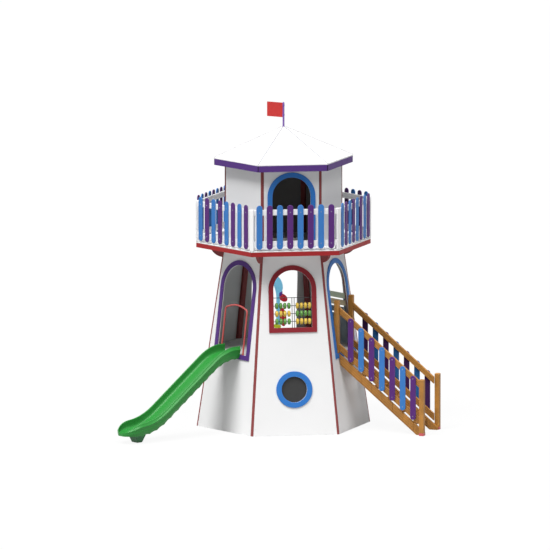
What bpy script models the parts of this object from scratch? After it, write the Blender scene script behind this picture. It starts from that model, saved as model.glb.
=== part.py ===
"""Hexagonal lighthouse play tower with a slide, a stair and a railed gallery.

Units are metres and +Z is up.  The tower is first laid out about its own axis, with its front
face towards -Y, and the whole model then hangs from one empty that puts the middle of its
footprint on the world origin.

Every piece that belongs to one side of the hexagon is built as if it were on the front side:
X runs along the face, Y runs inwards and Z is up.  It is then turned to its own side.
"""

import math

import bmesh
import bpy
from mathutils import Matrix, Vector

# Fit
GAP = 0.0003                 # clearance between pieces that touch
CUT_MARGIN = 0.05            # how far a cutter passes the piece it cuts

# Tower body
BASE_SIDE = 1.465            # hexagon side at the ground
TOP_SIDE = 0.995             # hexagon side under the gallery deck
CABIN_SIDE = 0.990
DECK_SIDE = 1.470
ROOF_SIDE = 1.170
WALL = 0.018                 # wall board
PLATFORM_TOP = 1.300
PLATFORM_THICK = 0.040
ENTRY_SILL = 1.296           # lower edge of the arches, just under the platform's top
DECK_TOP = 3.100
DECK_THICK = 0.020
FASCIA_DEPTH = 0.075
FASCIA_THICK = 0.022

# Corner posts
STRIP_LOWER = 0.026          # post face seen on each side of a lower corner
STRIP_CABIN = 0.019
POST_SHOULDER = 0.034        # how far a post reaches behind each wall board
POST_DEPTH = 0.100
POST_CHAMFER = 0.004
HEAD_RING_WIDTH = 0.050
HEAD_RING_DEPTH = 0.060
HEAD_RING_SET = 0.002        # head ring behind the cabin walls and below the post tops
CORBEL_REACH = 0.250
CORBEL_THICK = 0.044
CORBEL_SET = 0.003           # clearance of the corbel's back corners in front of the wall boards

# Openings and their trims
ARCH_WIDTH = 0.640
ARCH_SPRING = 2.400          # height where the window's round head starts
ENTRY_WIDTH = 0.770
ENTRY_SPRING = 2.370         # height where the entries' round heads start
TRIM_WIDTH = 0.082
TRIM_THICK = 0.015
WINDOW_SILL = 1.775
DOOR_SPRING = 3.945
PORTHOLE_HEIGHT = 0.755
PORTHOLE_RADIUS = 0.213
PORTHOLE_RING = 0.090
PORTHOLE_SHEET = 0.006
ARCH_STEPS = 20              # facets round a half circle

# Gallery railing
PICKETS = 8                  # on each side of the deck
RAIL_END = 0.133             # middle of the first picket from the deck's corner
PICKET_WIDTH = 0.100
PICKET_HEIGHT = 0.740
PICKET_THICK = 0.022
PICKET_LIFT = 0.025          # picket foot above the deck
PICKET_ROUND_STEPS = 5
RAIL_THICK = 0.036
RAIL_TOP = (3.695, 3.787)
RAIL_BOTTOM = (3.168, 3.263)
RAIL_POST = 0.070
RAIL_POST_TOP = 3.792

# Hatch between the platform storey and the cabin
HATCH_X = (-0.40, 0.30)
HATCH_Y = (-0.43, 0.17)

# Roof
ROOF_FASCIA_TOP = 4.485
ROOF_FASCIA_DEPTH = 0.105
ROOF_FASCIA_THICK = 0.020
ROOF_THICK = 0.018
ROOF_PITCH = 0.434           # rise for each metre that the roof's hexagon side shrinks
ROOF_CROWN = 0.036           # side of the flat seat of the flag pole
POLE_RADIUS = 0.016
POLE_TOP = 5.410
FLAG_LENGTH = 0.300
FLAG_HEIGHT = 0.245
FLAG_THICK = 0.004
FLAG_DROP = 0.012            # flag below the pole's top
FLAG_BEARING = 141.0

# Slide
SLIDE_SPACE = 0.080          # arch jamb to the slide's side
SLIDE_END = 3.450            # reach from the tower axis
SLIDE_RIM = 0.135            # rim above the sliding floor
SLIDE_SKIRT = 0.082          # side wall below the sliding floor
SLIDE_RIM_WIDTH = 0.050
SLIDE_SHELL = 0.014
SLIDE_FLANK_REST = 0.012     # flank inside the rim, a third of the way up
SLIDE_FLANK_FOOT = 0.045     # flank inside the rim, where it meets the floor
SLIDE_FLANK_RISE = 0.006
SLIDE_SLOPE = 0.7345
SLIDE_RUNOUT_SLOPE = 0.14
SLIDE_BEND = 1.413           # where the upper bend has its middle
SLIDE_BEND_REACH = 0.230
SLIDE_RUNOUT = 2.840         # where the lower bend has its middle
SLIDE_LIP = 0.300            # length of the rounded end
SLIDE_LIP_NARROW = 0.86      # how far the lip runs round its curve
SLIDE_LIP_RIM = 0.80         # share of the rim that dies out along the lip
SLIDE_LIP_SKIRT = 0.45       # share of the skirt that dies out along the lip
SLIDE_SCALLOP = 0.013
SLIDE_SCALLOP_PITCH = 0.150
SLIDE_STATIONS = 50
SLIDE_FOOT_PLACE = 3.110
SLIDE_FOOT_TOP = (0.230, 0.310)
SLIDE_FOOT_BASE = (0.110, 0.150)
HOOP_RADIUS = 0.0145
HOOP_INSET = 0.100           # hoop leg from the jamb
HOOP_TOP = 2.100
HOOP_BOW = 0.045
HOOP_CORNER = 0.055
HOOP_FACETS = 10

# Stair
RISERS = 7
STAIR_SLOPE = 0.815          # fall for each metre of run
STAIR_POST = 0.080
STAIR_HEAD_SET = 0.054       # wall face to where the line of the tread noses reaches the platform
STAIR_FOOT_RISE = 0.028      # height of that line at the foot posts
STAIR_POST_OUT = 0.047       # foot post's middle outside the arch jamb
STAIR_POST_RISE = 0.086      # foot post above the handrail
STAIR_HEAD_POST_SET = 0.017  # head post's middle behind the wall face
STAIR_HEAD_POST_HEIGHT = 0.885
STAIR_HEAD_POST_SPACE = 0.015   # head post from the jamb
STAIR_RAIL_THICK = 0.040
HANDRAIL_RISE = 0.831        # handrail above the line of the tread noses
HANDRAIL_DEPTH = 0.092
PICKET_DROP = 0.005          # picket tops below the handrail's upper edge
FOOTRAIL_DEPTH = 0.095
FOOTRAIL_RISE = 0.007        # bottom rail's lower edge above the picket feet
STRINGER_DEPTH = 0.130
STRINGER_SLOT = 0.032        # open slot between bottom rail and stringer
STRINGER_TOE = 0.030         # stringer past the middle of the foot post
JOINT = 0.004                # how far joined pieces enter each other
STAIR_PICKET_HEAD = 0.247    # head post's middle to the first picket
STAIR_PICKET_FOOT = 0.170    # last picket to the foot post's middle
STAIR_PICKETS = 7
STAIR_PICKET_WIDTH = 0.098
TREAD_THICK = 0.034
TREAD_DEPTH = 0.138
TREAD_NOSE = 0.030           # tread ahead of the line that the flight follows
TREAD_DROP = 0.045           # tread line below the stringer's upper edge

# Guard across the back right opening
GUARD_BOARD = 0.092
GUARD_SPACE = 0.030
GUARD_TOP = 2.160
GUARD_THICK = 0.020
GUARD_BOARDS = 7
GUARD_BATTEN = 0.040

# Abacus
ABACUS_ROD = 0.004
ABACUS_ROWS = (1.876, 2.004, 2.134)
ABACUS_TOP_ROD = 2.267
BEAD_RADIUS = 0.052
BEAD_THICK = 0.046
BEADS_EACH_HALF = 4
BEAD_SPACE = 0.036           # jamb to the outer bead's middle
BEAD_FIRST = 0.077           # upright to the inner bead's middle
BEAD_PROFILE = ((-0.5, 0.0), (-0.5, 0.75), (0.0, 1.0), (0.5, 0.75), (0.5, 0.0))  # shares of thickness, radius
BEAD_FACETS = 8
UPRIGHT_SHARE = 1.3          # abacus upright to rod

# Climber inside
CLIMBER_X = -0.036
CLIMBER_FOOT_Y = 0.340
CLIMBER_HEAD_Y = 0.110
CLIMBER_BOW = 0.100
CLIMBER_RADIUS = 0.032
CLIMBER_SWAY = 0.200         # how far the head stands to the side of the foot
CLIMBER_SWAY_LOW = 2.056     # heights between which the pole swings over
CLIMBER_SWAY_HIGH = 2.776
CLIMBER_POD_DEPTH = 0.055
CLIMBER_PODS = (             # height, out from the pole, half width, half height, tilt in degrees
    (1.590, -0.014, 0.064, 0.042, 8.0),
    (1.745, 0.078, 0.060, 0.160, -6.0),
    (2.070, 0.080, 0.086, 0.058, 40.0),
    (2.300, 0.046, 0.072, 0.140, -16.0),
    (2.640, 0.060, 0.070, 0.090, 16.0),
)
CLIMBER_STATIONS = 15
CLIMBER_FACETS = 10

# Angle of each side's outward normal
SIDES = {
    "front": 270.0,
    "front_right": 330.0,
    "back_right": 30.0,
    "back": 90.0,
    "back_left": 150.0,
    "front_left": 210.0,
}
COS30 = math.cos(math.radians(30.0))
COS60 = math.cos(math.radians(60.0))
DECK_BOTTOM = DECK_TOP - DECK_THICK
RAIL_PITCH = (DECK_SIDE - 2 * RAIL_END) / (PICKETS - 1)

# Colour, roughness and metallic of each finish
WHITE_BOARD = ((0.82, 0.82, 0.81), 0.45, 0.0)
BURGUNDY = ((0.22, 0.035, 0.035), 0.45, 0.0)
RED_BOARD = ((0.38, 0.04, 0.04), 0.45, 0.0)
BLUE_BOARD = ((0.06, 0.20, 0.52), 0.45, 0.0)
PURPLE_BOARD = ((0.10, 0.04, 0.18), 0.45, 0.0)
DARK_SHEET = ((0.03, 0.03, 0.03), 0.6, 0.0)
BOARD_FLOOR = ((0.55, 0.53, 0.50), 0.6, 0.0)
OLIVE_BOARD = ((0.10, 0.12, 0.05), 0.6, 0.0)
FLAG_RED = ((0.69, 0.05, 0.05), 0.8, 0.0)
SLIDE_GREEN = ((0.05, 0.45, 0.05), 0.3, 0.0)
HOOP_RED = ((0.55, 0.07, 0.07), 0.35, 0.0)
STAIR_WOOD = ((0.42, 0.21, 0.06), 0.6, 0.0)
ROD_STEEL = ((0.45, 0.45, 0.45), 0.35, 1.0)
SKY_BLUE = ((0.20, 0.52, 0.78), 0.4, 0.0)


def clear_scene():
    """Remove every object so that the script starts from nothing."""
    for old in list(bpy.data.objects):
        bpy.data.objects.remove(old, do_unlink=True)


def make_material(name, finish):
    """A Principled material from a colour, a roughness and a metallic value."""
    colour, roughness, metallic = finish
    material = bpy.data.materials.new(name)
    material.use_nodes = True
    shader = material.node_tree.nodes["Principled BSDF"]
    shader.inputs["Base Color"].default_value = (*colour, 1.0)
    shader.inputs["Roughness"].default_value = roughness
    shader.inputs["Metallic"].default_value = metallic
    material.diffuse_color = (*colour, 1.0)
    return material


def add_object(name, bm, finish, turn=0.0, smooth=None):
    """Make an object from a bmesh, turn it about the tower axis and hang it from the datum."""
    bmesh.ops.recalc_face_normals(bm, faces=bm.faces)
    mesh = bpy.data.meshes.new(name)
    bm.to_mesh(mesh)
    bm.free()
    if smooth is not None:
        mesh.shade_smooth()
        mesh.set_sharp_from_angle(angle=math.radians(smooth))
    piece = bpy.data.objects.new(name, mesh)
    bpy.context.collection.objects.link(piece)
    piece.rotation_euler = (0.0, 0.0, math.radians(turn))
    piece.parent = bpy.data.objects["datum"]
    if finish is None:
        piece.hide_render = True
        piece.display_type = "WIRE"
    else:
        mesh.materials.append(make_material(name, finish))
    return piece


def cut(piece, cutter, operation="DIFFERENCE"):
    """Cut a piece with a wire cutter, or join the cutter's shape to it."""
    modifier = piece.modifiers.new(cutter.name, "BOOLEAN")
    modifier.operation = operation
    modifier.solver = "EXACT"
    modifier.object = cutter


def loft(bm, sections, close_ring=False):
    """Skin closed loops of equal length into one solid, or into a ring of sections."""
    loops = [[bm.verts.new(point) for point in section] for section in sections]
    count = len(loops[0])
    pairs = list(zip(loops, loops[1:]))
    if close_ring:
        pairs.append((loops[-1], loops[0]))
    for lower, upper in pairs:
        for i in range(count):
            j = (i + 1) % count
            bm.faces.new((lower[i], lower[j], upper[j], upper[i]))
    if not close_ring:
        bm.faces.new(loops[0])
        bm.faces.new(loops[-1])


def plate(bm, outline, holes, thickness, matrix):
    """Extrude a flat outline with holes; the matrix carries (x, y) and the thickness along z."""
    edges = []
    for loop in [outline] + holes:
        verts = [bm.verts.new((x, y, 0.0)) for x, y in loop]
        edges += [bm.edges.new((verts[i - 1], verts[i])) for i in range(len(verts))]
    filled = bmesh.ops.triangle_fill(bm, edges=edges, use_beauty=True, normal=(0.0, 0.0, 1.0))
    faces = [item for item in filled["geom"] if isinstance(item, bmesh.types.BMFace)]
    grown = bmesh.ops.extrude_face_region(bm, geom=faces)
    lifted = [item for item in grown["geom"] if isinstance(item, bmesh.types.BMVert)]
    bmesh.ops.translate(bm, verts=lifted, vec=(0.0, 0.0, thickness))
    own = {vert for edge in edges for vert in edge.verts} | set(lifted)
    bmesh.ops.transform(bm, matrix=matrix, verts=list(own))


def box(bm, low, high):
    """An axis-aligned block."""
    (x0, y0, z0), (x1, y1, z1) = low, high
    base = [(x0, y0), (x1, y0), (x1, y1), (x0, y1)]
    loft(bm, [[(x, y, z) for x, y in base] for z in (z0, z1)])


def box_bmesh(low, high):
    """A new bmesh that holds one block."""
    bm = bmesh.new()
    box(bm, low, high)
    return bm


def arch_outline(width, bottom, spring, steps=ARCH_STEPS):
    """Doorway outline with a half-round head, from the bottom left corner anticlockwise."""
    half = width / 2.0
    outline = [(-half, bottom), (half, bottom)]
    for i in range(steps + 1):
        angle = math.pi * i / steps
        outline.append((half * math.cos(angle), spring + half * math.sin(angle)))
    return outline


def circle_outline(radius, middle, steps):
    """A circle in a face's own plane."""
    return [(radius * math.cos(2 * math.pi * i / steps), middle + radius * math.sin(2 * math.pi * i / steps))
            for i in range(steps)]


def side_at(z):
    """Side of the tower's leaning hexagon at a height."""
    return BASE_SIDE + (TOP_SIDE - BASE_SIDE) * z / DECK_BOTTOM


def apothem_at(z):
    """Distance from the axis to the outer wall face at a height."""
    return COS30 * side_at(z)


LEAN = math.atan((apothem_at(0.0) - apothem_at(DECK_BOTTOM)) / DECK_BOTTOM)
WALL_RUN = WALL / math.cos(LEAN)       # a leaning wall's thickness, measured level
SLIDE_WIDTH = ARCH_WIDTH - 2 * SLIDE_SPACE
STAIR_SQUARE = 1.0 / math.cos(math.atan(STAIR_SLOPE))    # upright depth of a sloping board of unit depth
STAIR_HEAD = apothem_at(PLATFORM_TOP) - STAIR_HEAD_SET
STAIR_HEAD_POST_PLACE = apothem_at(PLATFORM_TOP) - STAIR_HEAD_POST_SET
STAIR_POST_PLACE = STAIR_HEAD + (PLATFORM_TOP - STAIR_FOOT_RISE) / STAIR_SLOPE
STAIR_POST_SIDE = ARCH_WIDTH / 2.0 + STAIR_POST_OUT
STAIR_PICKET_HEIGHT = HANDRAIL_RISE - PICKET_DROP - TREAD_DROP - STRINGER_SLOT * STAIR_SQUARE


def leaning_face(offset):
    """Matrix of a lower wall face: x along it, y up its slope, z outwards, moved out by offset."""
    across = Vector((1.0, 0.0, 0.0))
    up = Vector((0.0, math.sin(LEAN), math.cos(LEAN)))
    out = across.cross(up)
    matrix = Matrix((across, up, out)).transposed().to_4x4()
    matrix.translation = Vector((0.0, -apothem_at(0.0), 0.0)) + out * offset
    return matrix


def upright_face(apothem, offset):
    """Matrix of an upright face: x along it, y up, z outwards, moved out by offset."""
    matrix = Matrix.Rotation(math.radians(90.0), 4, "X")
    matrix.translation = Vector((0.0, -apothem - offset, 0.0))
    return matrix


def up_slope(z):
    """Distance up the leaning face at which it reaches a height."""
    return z / math.cos(LEAN)


def leaning_arch(width, bottom, spring):
    """Arch outline on the leaning face, its heights given as true heights."""
    return arch_outline(width, up_slope(bottom), up_slope(spring))


def turn_of(side):
    """Turn that carries the front side to a named side."""
    return SIDES[side] - SIDES["front"]


def wall_section(side, apothem, z, strip, thickness):
    """Plan of a wall board between two corner posts."""
    half = side / 2.0 - strip - GAP
    return [(-half, -apothem, z), (half, -apothem, z),
            (half, -apothem + thickness, z), (-half, -apothem + thickness, z)]


def post_section(side, z, strip, thickness):
    """Plan of a corner post on +X, rebated on both sides for the wall boards."""
    along = Vector((-COS60, COS30))
    outward = Vector((COS30, COS60))
    corner = Vector((side, 0.0))
    nose = corner + along * POST_CHAMFER
    edge = corner + along * strip
    rebate = edge - outward * (thickness + GAP)
    shoulder = rebate + along * POST_SHOULDER
    back = Vector((side - POST_DEPTH, shoulder.y))
    half = [nose, edge, rebate, shoulder, back]
    ring = half + [Vector((p.x, -p.y)) for p in reversed(half)]
    return [(p.x, p.y, z) for p in ring]


def hexagon(side, z):
    """Plan of a hexagon whose front side faces -Y."""
    return [(side * math.cos(math.radians(60.0 * i)), side * math.sin(math.radians(60.0 * i)), z)
            for i in range(6)]


def build_lower_walls():
    """Six leaning wall boards, with the arches, the window and the porthole cut through."""
    window = arch_cutter("window_cutter", ARCH_WIDTH, WINDOW_SILL, ARCH_SPRING)
    porthole = bmesh.new()
    plate(porthole, circle_outline(PORTHOLE_RADIUS, up_slope(PORTHOLE_HEIGHT), 2 * ARCH_STEPS), [],
          WALL + 2 * CUT_MARGIN, leaning_face(-WALL - CUT_MARGIN))
    porthole_cutter = add_object("porthole_cutter", porthole, None)
    for side in SIDES:
        bm = bmesh.new()
        top = DECK_BOTTOM - GAP
        loft(bm, [wall_section(side_at(z), apothem_at(z), z, STRIP_LOWER, WALL_RUN) for z in (0.0, top)])
        wall = add_object(f"{side}_wall", bm, WHITE_BOARD, turn_of(side))
        if side == "front":
            cut(wall, window)
            cut(wall, porthole_cutter)
        elif side != "back_left":
            turned = arch_cutter(f"{side}_cutter", ENTRY_WIDTH, ENTRY_SILL, ENTRY_SPRING, turn_of(side))
            cut(wall, turned)


def arch_cutter(name, width, bottom, spring, turn=0.0):
    """Solid that cuts an arch through a leaning wall."""
    bm = bmesh.new()
    plate(bm, leaning_arch(width, bottom, spring), [], WALL + 2 * CUT_MARGIN,
          leaning_face(-WALL - CUT_MARGIN))
    return add_object(name, bm, None, turn)


def build_lower_posts():
    """Six leaning corner posts, each with the quarter-round corbel that carries the deck corner."""
    top = DECK_BOTTOM - GAP
    for i in range(6):
        bm = bmesh.new()
        loft(bm, [post_section(side_at(z), z, STRIP_LOWER, WALL_RUN) for z in (0.0, top)])
        post = add_object(f"corner_post_{i + 1}", bm, BURGUNDY, 60.0 * i)
        shape = bmesh.new()
        stand = Matrix.Rotation(math.radians(90.0), 4, "X")
        stand.translation = Vector((0.0, CORBEL_THICK / 2.0, 0.0))
        plate(shape, corbel_outline(top), [], CORBEL_THICK, stand)
        corbel = add_object(f"corbel_shape_{i + 1}", shape, None, 60.0 * i)
        cut(post, corbel, "UNION")


def corbel_outline(top):
    """Quarter round under a deck corner, let a little way into the leaning post."""
    let_in = CORBEL_THICK / 2.0 / math.tan(math.radians(60.0)) - CORBEL_SET
    start = math.asin((side_at(top - CORBEL_REACH) - side_at(top)) / CORBEL_REACH)
    steps = ARCH_STEPS // 2
    arc = []
    for i in range(steps + 1):
        angle = start + (math.pi / 2.0 - start) * i / steps
        arc.append((side_at(top) + CORBEL_REACH * math.sin(angle), top - CORBEL_REACH * math.cos(angle)))
    low = arc[0][1]
    return [(side_at(low) - let_in, low)] + arc + [(side_at(top) - let_in, top)]


def build_platform():
    """Floor inside the lower storey, notched round the posts and run out through the two entries."""
    bm = bmesh.new()
    heights = (PLATFORM_TOP - PLATFORM_THICK, PLATFORM_TOP)
    sections = []
    for z in heights:
        inner = (apothem_at(z) - WALL_RUN - GAP) / COS30
        notch = inner - (side_at(z) - POST_DEPTH - 2 * GAP)
        ring = []
        for i in range(6):
            bearing = math.radians(60.0 * i)
            ray = Vector((math.cos(bearing), math.sin(bearing)))
            tangent = Vector((-ray.y, ray.x))
            middle = ray * (inner - notch)
            reach = notch * math.tan(math.radians(60.0))
            ring += [middle - tangent * reach, middle + tangent * reach]
        sections.append([(p.x, p.y, z) for p in ring])
    loft(bm, sections)
    add_object("platform_floor", bm, BOARD_FLOOR)


def ring_plate(name, outer, hole, finish, matrix, turn, thickness=TRIM_THICK):
    """A flat trim plate with one hole."""
    bm = bmesh.new()
    plate(bm, outer, [hole], thickness, matrix)
    return add_object(name, bm, finish, turn)


def build_trims():
    """The painted plates round the arches, the window, the door and the porthole."""
    arches = (
        ("slide_arch_trim", "front_left", ENTRY_SILL, PURPLE_BOARD),
        ("stair_arch_trim", "front_right", ENTRY_SILL, BLUE_BOARD),
        ("back_arch_trim", "back", ENTRY_SILL, RED_BOARD),
        ("guard_arch_trim", "back_right", ENTRY_SILL, PURPLE_BOARD),
        ("window_trim", "front", WINDOW_SILL, RED_BOARD),
    )
    for name, side, bottom, finish in arches:
        width, spring = (ARCH_WIDTH, ARCH_SPRING) if side == "front" else (ENTRY_WIDTH, ENTRY_SPRING)
        outer = leaning_arch(width + 2 * TRIM_WIDTH, bottom - TRIM_WIDTH, spring)
        inner = leaning_arch(width, bottom, spring)
        ring_plate(name, outer, inner, finish, leaning_face(GAP), turn_of(side))
    middle = up_slope(PORTHOLE_HEIGHT)
    ring_plate("porthole_ring", circle_outline(PORTHOLE_RADIUS + PORTHOLE_RING, middle, 2 * ARCH_STEPS),
               circle_outline(PORTHOLE_RADIUS, middle, 2 * ARCH_STEPS), BLUE_BOARD, leaning_face(GAP), 0.0)
    bm = bmesh.new()
    plate(bm, circle_outline(PORTHOLE_RADIUS + PORTHOLE_RING, middle, 2 * ARCH_STEPS), [], PORTHOLE_SHEET,
          leaning_face(-WALL - GAP - PORTHOLE_SHEET))
    add_object("porthole_sheet", bm, DARK_SHEET)
    door_floor = DECK_TOP + GAP
    ring = ring_plate("door_trim",
                      arch_outline(ARCH_WIDTH + 2 * TRIM_WIDTH, door_floor, DOOR_SPRING),
                      arch_outline(ARCH_WIDTH, door_floor + TRIM_WIDTH, DOOR_SPRING),
                      BLUE_BOARD, upright_face(COS30 * CABIN_SIDE, GAP), 0.0)
    doorway = bmesh.new()
    half = ARCH_WIDTH / 2.0
    box(doorway, (-half, -CABIN_SIDE, door_floor - CUT_MARGIN), (half, 0.0, door_floor + 2 * TRIM_WIDTH))
    cut(ring, add_object("door_foot_cutter", doorway, None))


def build_deck():
    """Gallery deck plate with the hatch, and the red boards round its edge."""
    bm = bmesh.new()
    plan = [(x, y) for x, y, _ in hexagon(DECK_SIDE, 0.0)]
    hatch = [(HATCH_X[0], HATCH_Y[0]), (HATCH_X[1], HATCH_Y[0]), (HATCH_X[1], HATCH_Y[1]),
             (HATCH_X[0], HATCH_Y[1])]
    plate(bm, plan, [hatch], DECK_THICK, Matrix.Translation((0.0, 0.0, DECK_BOTTOM)))
    add_object("deck_floor", bm, WHITE_BOARD)
    hex_ring("deck_fascia", DECK_SIDE, FASCIA_THICK, DECK_BOTTOM - GAP - FASCIA_DEPTH, DECK_BOTTOM - GAP,
             RED_BOARD)


def hex_ring(name, side, thickness, low, high, finish):
    """Six mitred boards in a ring."""
    bm = bmesh.new()
    inner = side - thickness / COS30
    loft(bm, [hexagon(side, low), hexagon(side, high), hexagon(inner, high), hexagon(inner, low)],
         close_ring=True)
    return add_object(name, bm, finish)


def picket_outline(middle, low, height, width):
    """A picket with both ends rounded."""
    radius = width / 2.0
    outline = []
    for centre, start in ((low + height - radius, 0.0), (low + radius, math.pi)):
        for i in range(PICKET_ROUND_STEPS + 1):
            angle = start + math.pi * i / PICKET_ROUND_STEPS
            outline.append((middle + radius * math.cos(angle), centre + radius * math.sin(angle)))
    return outline


def rail_bar(face, heights):
    """A rail between two corner posts: let into the right-hand one and butted to the left-hand one."""
    low, high = heights
    plan = []
    for hand, reach in ((-1.0, -GAP), (1.0, RAIL_POST / 5.0)):
        ends = [(hand * (COS60 * depth - RAIL_POST / 2.0 + reach) / COS30, -depth)
                for depth in (face, face - RAIL_THICK)]
        plan += ends if hand < 0.0 else list(reversed(ends))
    bm = bmesh.new()
    loft(bm, [[(x, y, z) for x, y in plan] for z in (low, high)])
    return bm


def build_railings():
    """Six railing panels: two rails, eight pickets and the corner post at the right-hand end."""
    face = COS30 * DECK_SIDE
    overlap = PICKET_THICK / 10.0
    for side in SIDES:
        turn = turn_of(side)
        panel = add_object(f"{side}_railing", rail_bar(face, RAIL_BOTTOM), BLUE_BOARD, turn)
        parts = [rail_bar(face, RAIL_TOP)]
        for i in range(PICKETS):
            middle = (i - (PICKETS - 1) / 2.0) * RAIL_PITCH
            shape = bmesh.new()
            plate(shape, picket_outline(middle, DECK_TOP + PICKET_LIFT, PICKET_HEIGHT, PICKET_WIDTH), [],
                  PICKET_THICK + overlap, upright_face(face, -overlap))
            parts.append(shape)
        for i, shape in enumerate(parts):
            cut(panel, add_object(f"{side}_rail_shape_{i}", shape, None, turn), "UNION")
        half = RAIL_POST / 2.0
        post = box_bmesh((DECK_SIDE - RAIL_POST, -half, DECK_TOP + GAP), (DECK_SIDE, half, RAIL_POST_TOP))
        cut(panel, add_object(f"{side}_post_shape", post, None, turn - 60.0), "UNION")


def build_cabin():
    """Cabin walls, with the doorway at the front, and the frame of posts joined at the top."""
    low = DECK_TOP + GAP
    high = roof_underside(CABIN_SIDE) - GAP
    doorway = bmesh.new()
    plate(doorway, arch_outline(ARCH_WIDTH, low - CUT_MARGIN, DOOR_SPRING), [], WALL + 2 * CUT_MARGIN,
          upright_face(COS30 * CABIN_SIDE, -WALL - CUT_MARGIN))
    doorway_cutter = add_object("doorway_cutter", doorway, None)
    for side in SIDES:
        bm = bmesh.new()
        loft(bm, [wall_section(CABIN_SIDE, COS30 * CABIN_SIDE, z, STRIP_CABIN, WALL) for z in (low, high)])
        wall = add_object(f"{side}_cabin_wall", bm, WHITE_BOARD, turn_of(side))
        if side == "front":
            cut(wall, doorway_cutter)
    inner = CABIN_SIDE - (WALL + HEAD_RING_SET) / COS30
    ring = bmesh.new()
    core = inner - HEAD_RING_WIDTH
    top = high - HEAD_RING_SET
    bottom = top - HEAD_RING_DEPTH
    loft(ring, [hexagon(inner, bottom), hexagon(inner, top), hexagon(core, top), hexagon(core, bottom)],
         close_ring=True)
    frame = add_object("cabin_frame", ring, BURGUNDY)
    for i in range(6):
        bm = bmesh.new()
        loft(bm, [post_section(CABIN_SIDE, z, STRIP_CABIN, WALL) for z in (low, high)])
        cut(frame, add_object(f"cabin_post_shape_{i}", bm, None, 60.0 * i), "UNION")


def roof_underside(side):
    """Height of the roof boards' underside where the roof's hexagon has a given side."""
    return ROOF_FASCIA_TOP + GAP + ROOF_PITCH * (ROOF_SIDE - side)


def build_roof():
    """Six-sided pyramid of boards, the fascia ring under its eaves, the pole and the flag."""
    rise = ROOF_THICK * math.sqrt(1.0 + (ROOF_PITCH / COS30) ** 2)
    bm = bmesh.new()
    loops = [[bm.verts.new(point) for point in hexagon(side, roof_underside(side) + lift)]
             for side, lift in ((ROOF_CROWN, 0.0), (ROOF_SIDE, 0.0), (ROOF_SIDE, rise), (ROOF_CROWN, rise))]
    for lower, upper in zip(loops, loops[1:]):
        for i in range(6):
            j = (i + 1) % 6
            bm.faces.new((lower[i], lower[j], upper[j], upper[i]))
    bm.faces.new(loops[0])
    bm.faces.new(loops[-1])
    add_object("roof", bm, WHITE_BOARD)
    hex_ring("roof_fascia", ROOF_SIDE, ROOF_FASCIA_THICK, ROOF_FASCIA_TOP - ROOF_FASCIA_DEPTH, ROOF_FASCIA_TOP,
             PURPLE_BOARD)
    pole = bmesh.new()
    foot = roof_underside(ROOF_CROWN) + rise + GAP
    bmesh.ops.create_cone(pole, cap_ends=True, segments=16, radius1=POLE_RADIUS, radius2=POLE_RADIUS,
                          depth=POLE_TOP - foot,
                          matrix=Matrix.Translation((0.0, 0.0, (POLE_TOP + foot) / 2.0)))
    add_object("flag_pole", pole, PURPLE_BOARD, smooth=40.0)
    flag_top = POLE_TOP - FLAG_DROP
    start = POLE_RADIUS + GAP
    flag = box_bmesh((start, -FLAG_THICK / 2.0, flag_top - FLAG_HEIGHT),
                     (start + FLAG_LENGTH, FLAG_THICK / 2.0, flag_top))
    add_object("flag", flag, FLAG_RED, FLAG_BEARING)


def bent(reach, first, second, middle, spread):
    """Height change of two straight runs joined by a smooth bend, zero at the start of the first."""
    if reach <= middle - spread:
        return first * reach
    if reach >= middle + spread:
        return first * middle + second * (reach - middle)
    along = reach - (middle - spread)
    return first * reach + (second - first) * along * along / (4.0 * spread)


def slide_floor(reach):
    """Height of the sliding floor at a distance from the tower axis."""
    drop = bent(reach, 0.0, -SLIDE_SLOPE, SLIDE_BEND, SLIDE_BEND_REACH)
    level = bent(reach, 0.0, SLIDE_SLOPE - SLIDE_RUNOUT_SLOPE, SLIDE_RUNOUT, SLIDE_BEND_REACH)
    return PLATFORM_TOP + GAP + drop + level


def slide_section(reach):
    """Cross-section of the chute: rolled rims, dished floor and scalloped side skirts."""
    floor = slide_floor(reach)
    start = SLIDE_END - SLIDE_LIP
    end_share = max(0.0, (reach - start) / SLIDE_LIP)
    half = SLIDE_WIDTH / 2.0 * math.sqrt(1.0 - (SLIDE_LIP_NARROW * end_share) ** 4)
    rim = SLIDE_RIM * (1.0 - SLIDE_LIP_RIM * end_share ** 2)
    wave = SLIDE_SCALLOP * abs(math.sin(math.pi * reach / SLIDE_SCALLOP_PITCH))
    skirt = (SLIDE_SKIRT - wave) * (1.0 - SLIDE_LIP_SKIRT * end_share)
    roll = SLIDE_RIM_WIDTH / 2.0
    inner = half - SLIDE_RIM_WIDTH
    right = [(half - SLIDE_SHELL, floor - skirt), (half, floor - skirt), (half, floor + rim - roll)]
    for i in range(1, 5):
        angle = math.pi * i / 4.0
        right.append((half - roll + roll * math.cos(angle), floor + rim - roll + roll * math.sin(angle)))
    right += [(inner - SLIDE_FLANK_REST, floor + rim / 3.0),
              (inner - SLIDE_FLANK_FOOT, floor + SLIDE_FLANK_RISE), (inner / 2.0, floor)]
    under = floor - SLIDE_SHELL
    left = [(-x, z) for x, z in reversed(right)]
    ring = right + left + [(-half + SLIDE_SHELL, under), (half - SLIDE_SHELL, under)]
    return [(x, -reach, z) for x, z in ring]


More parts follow.
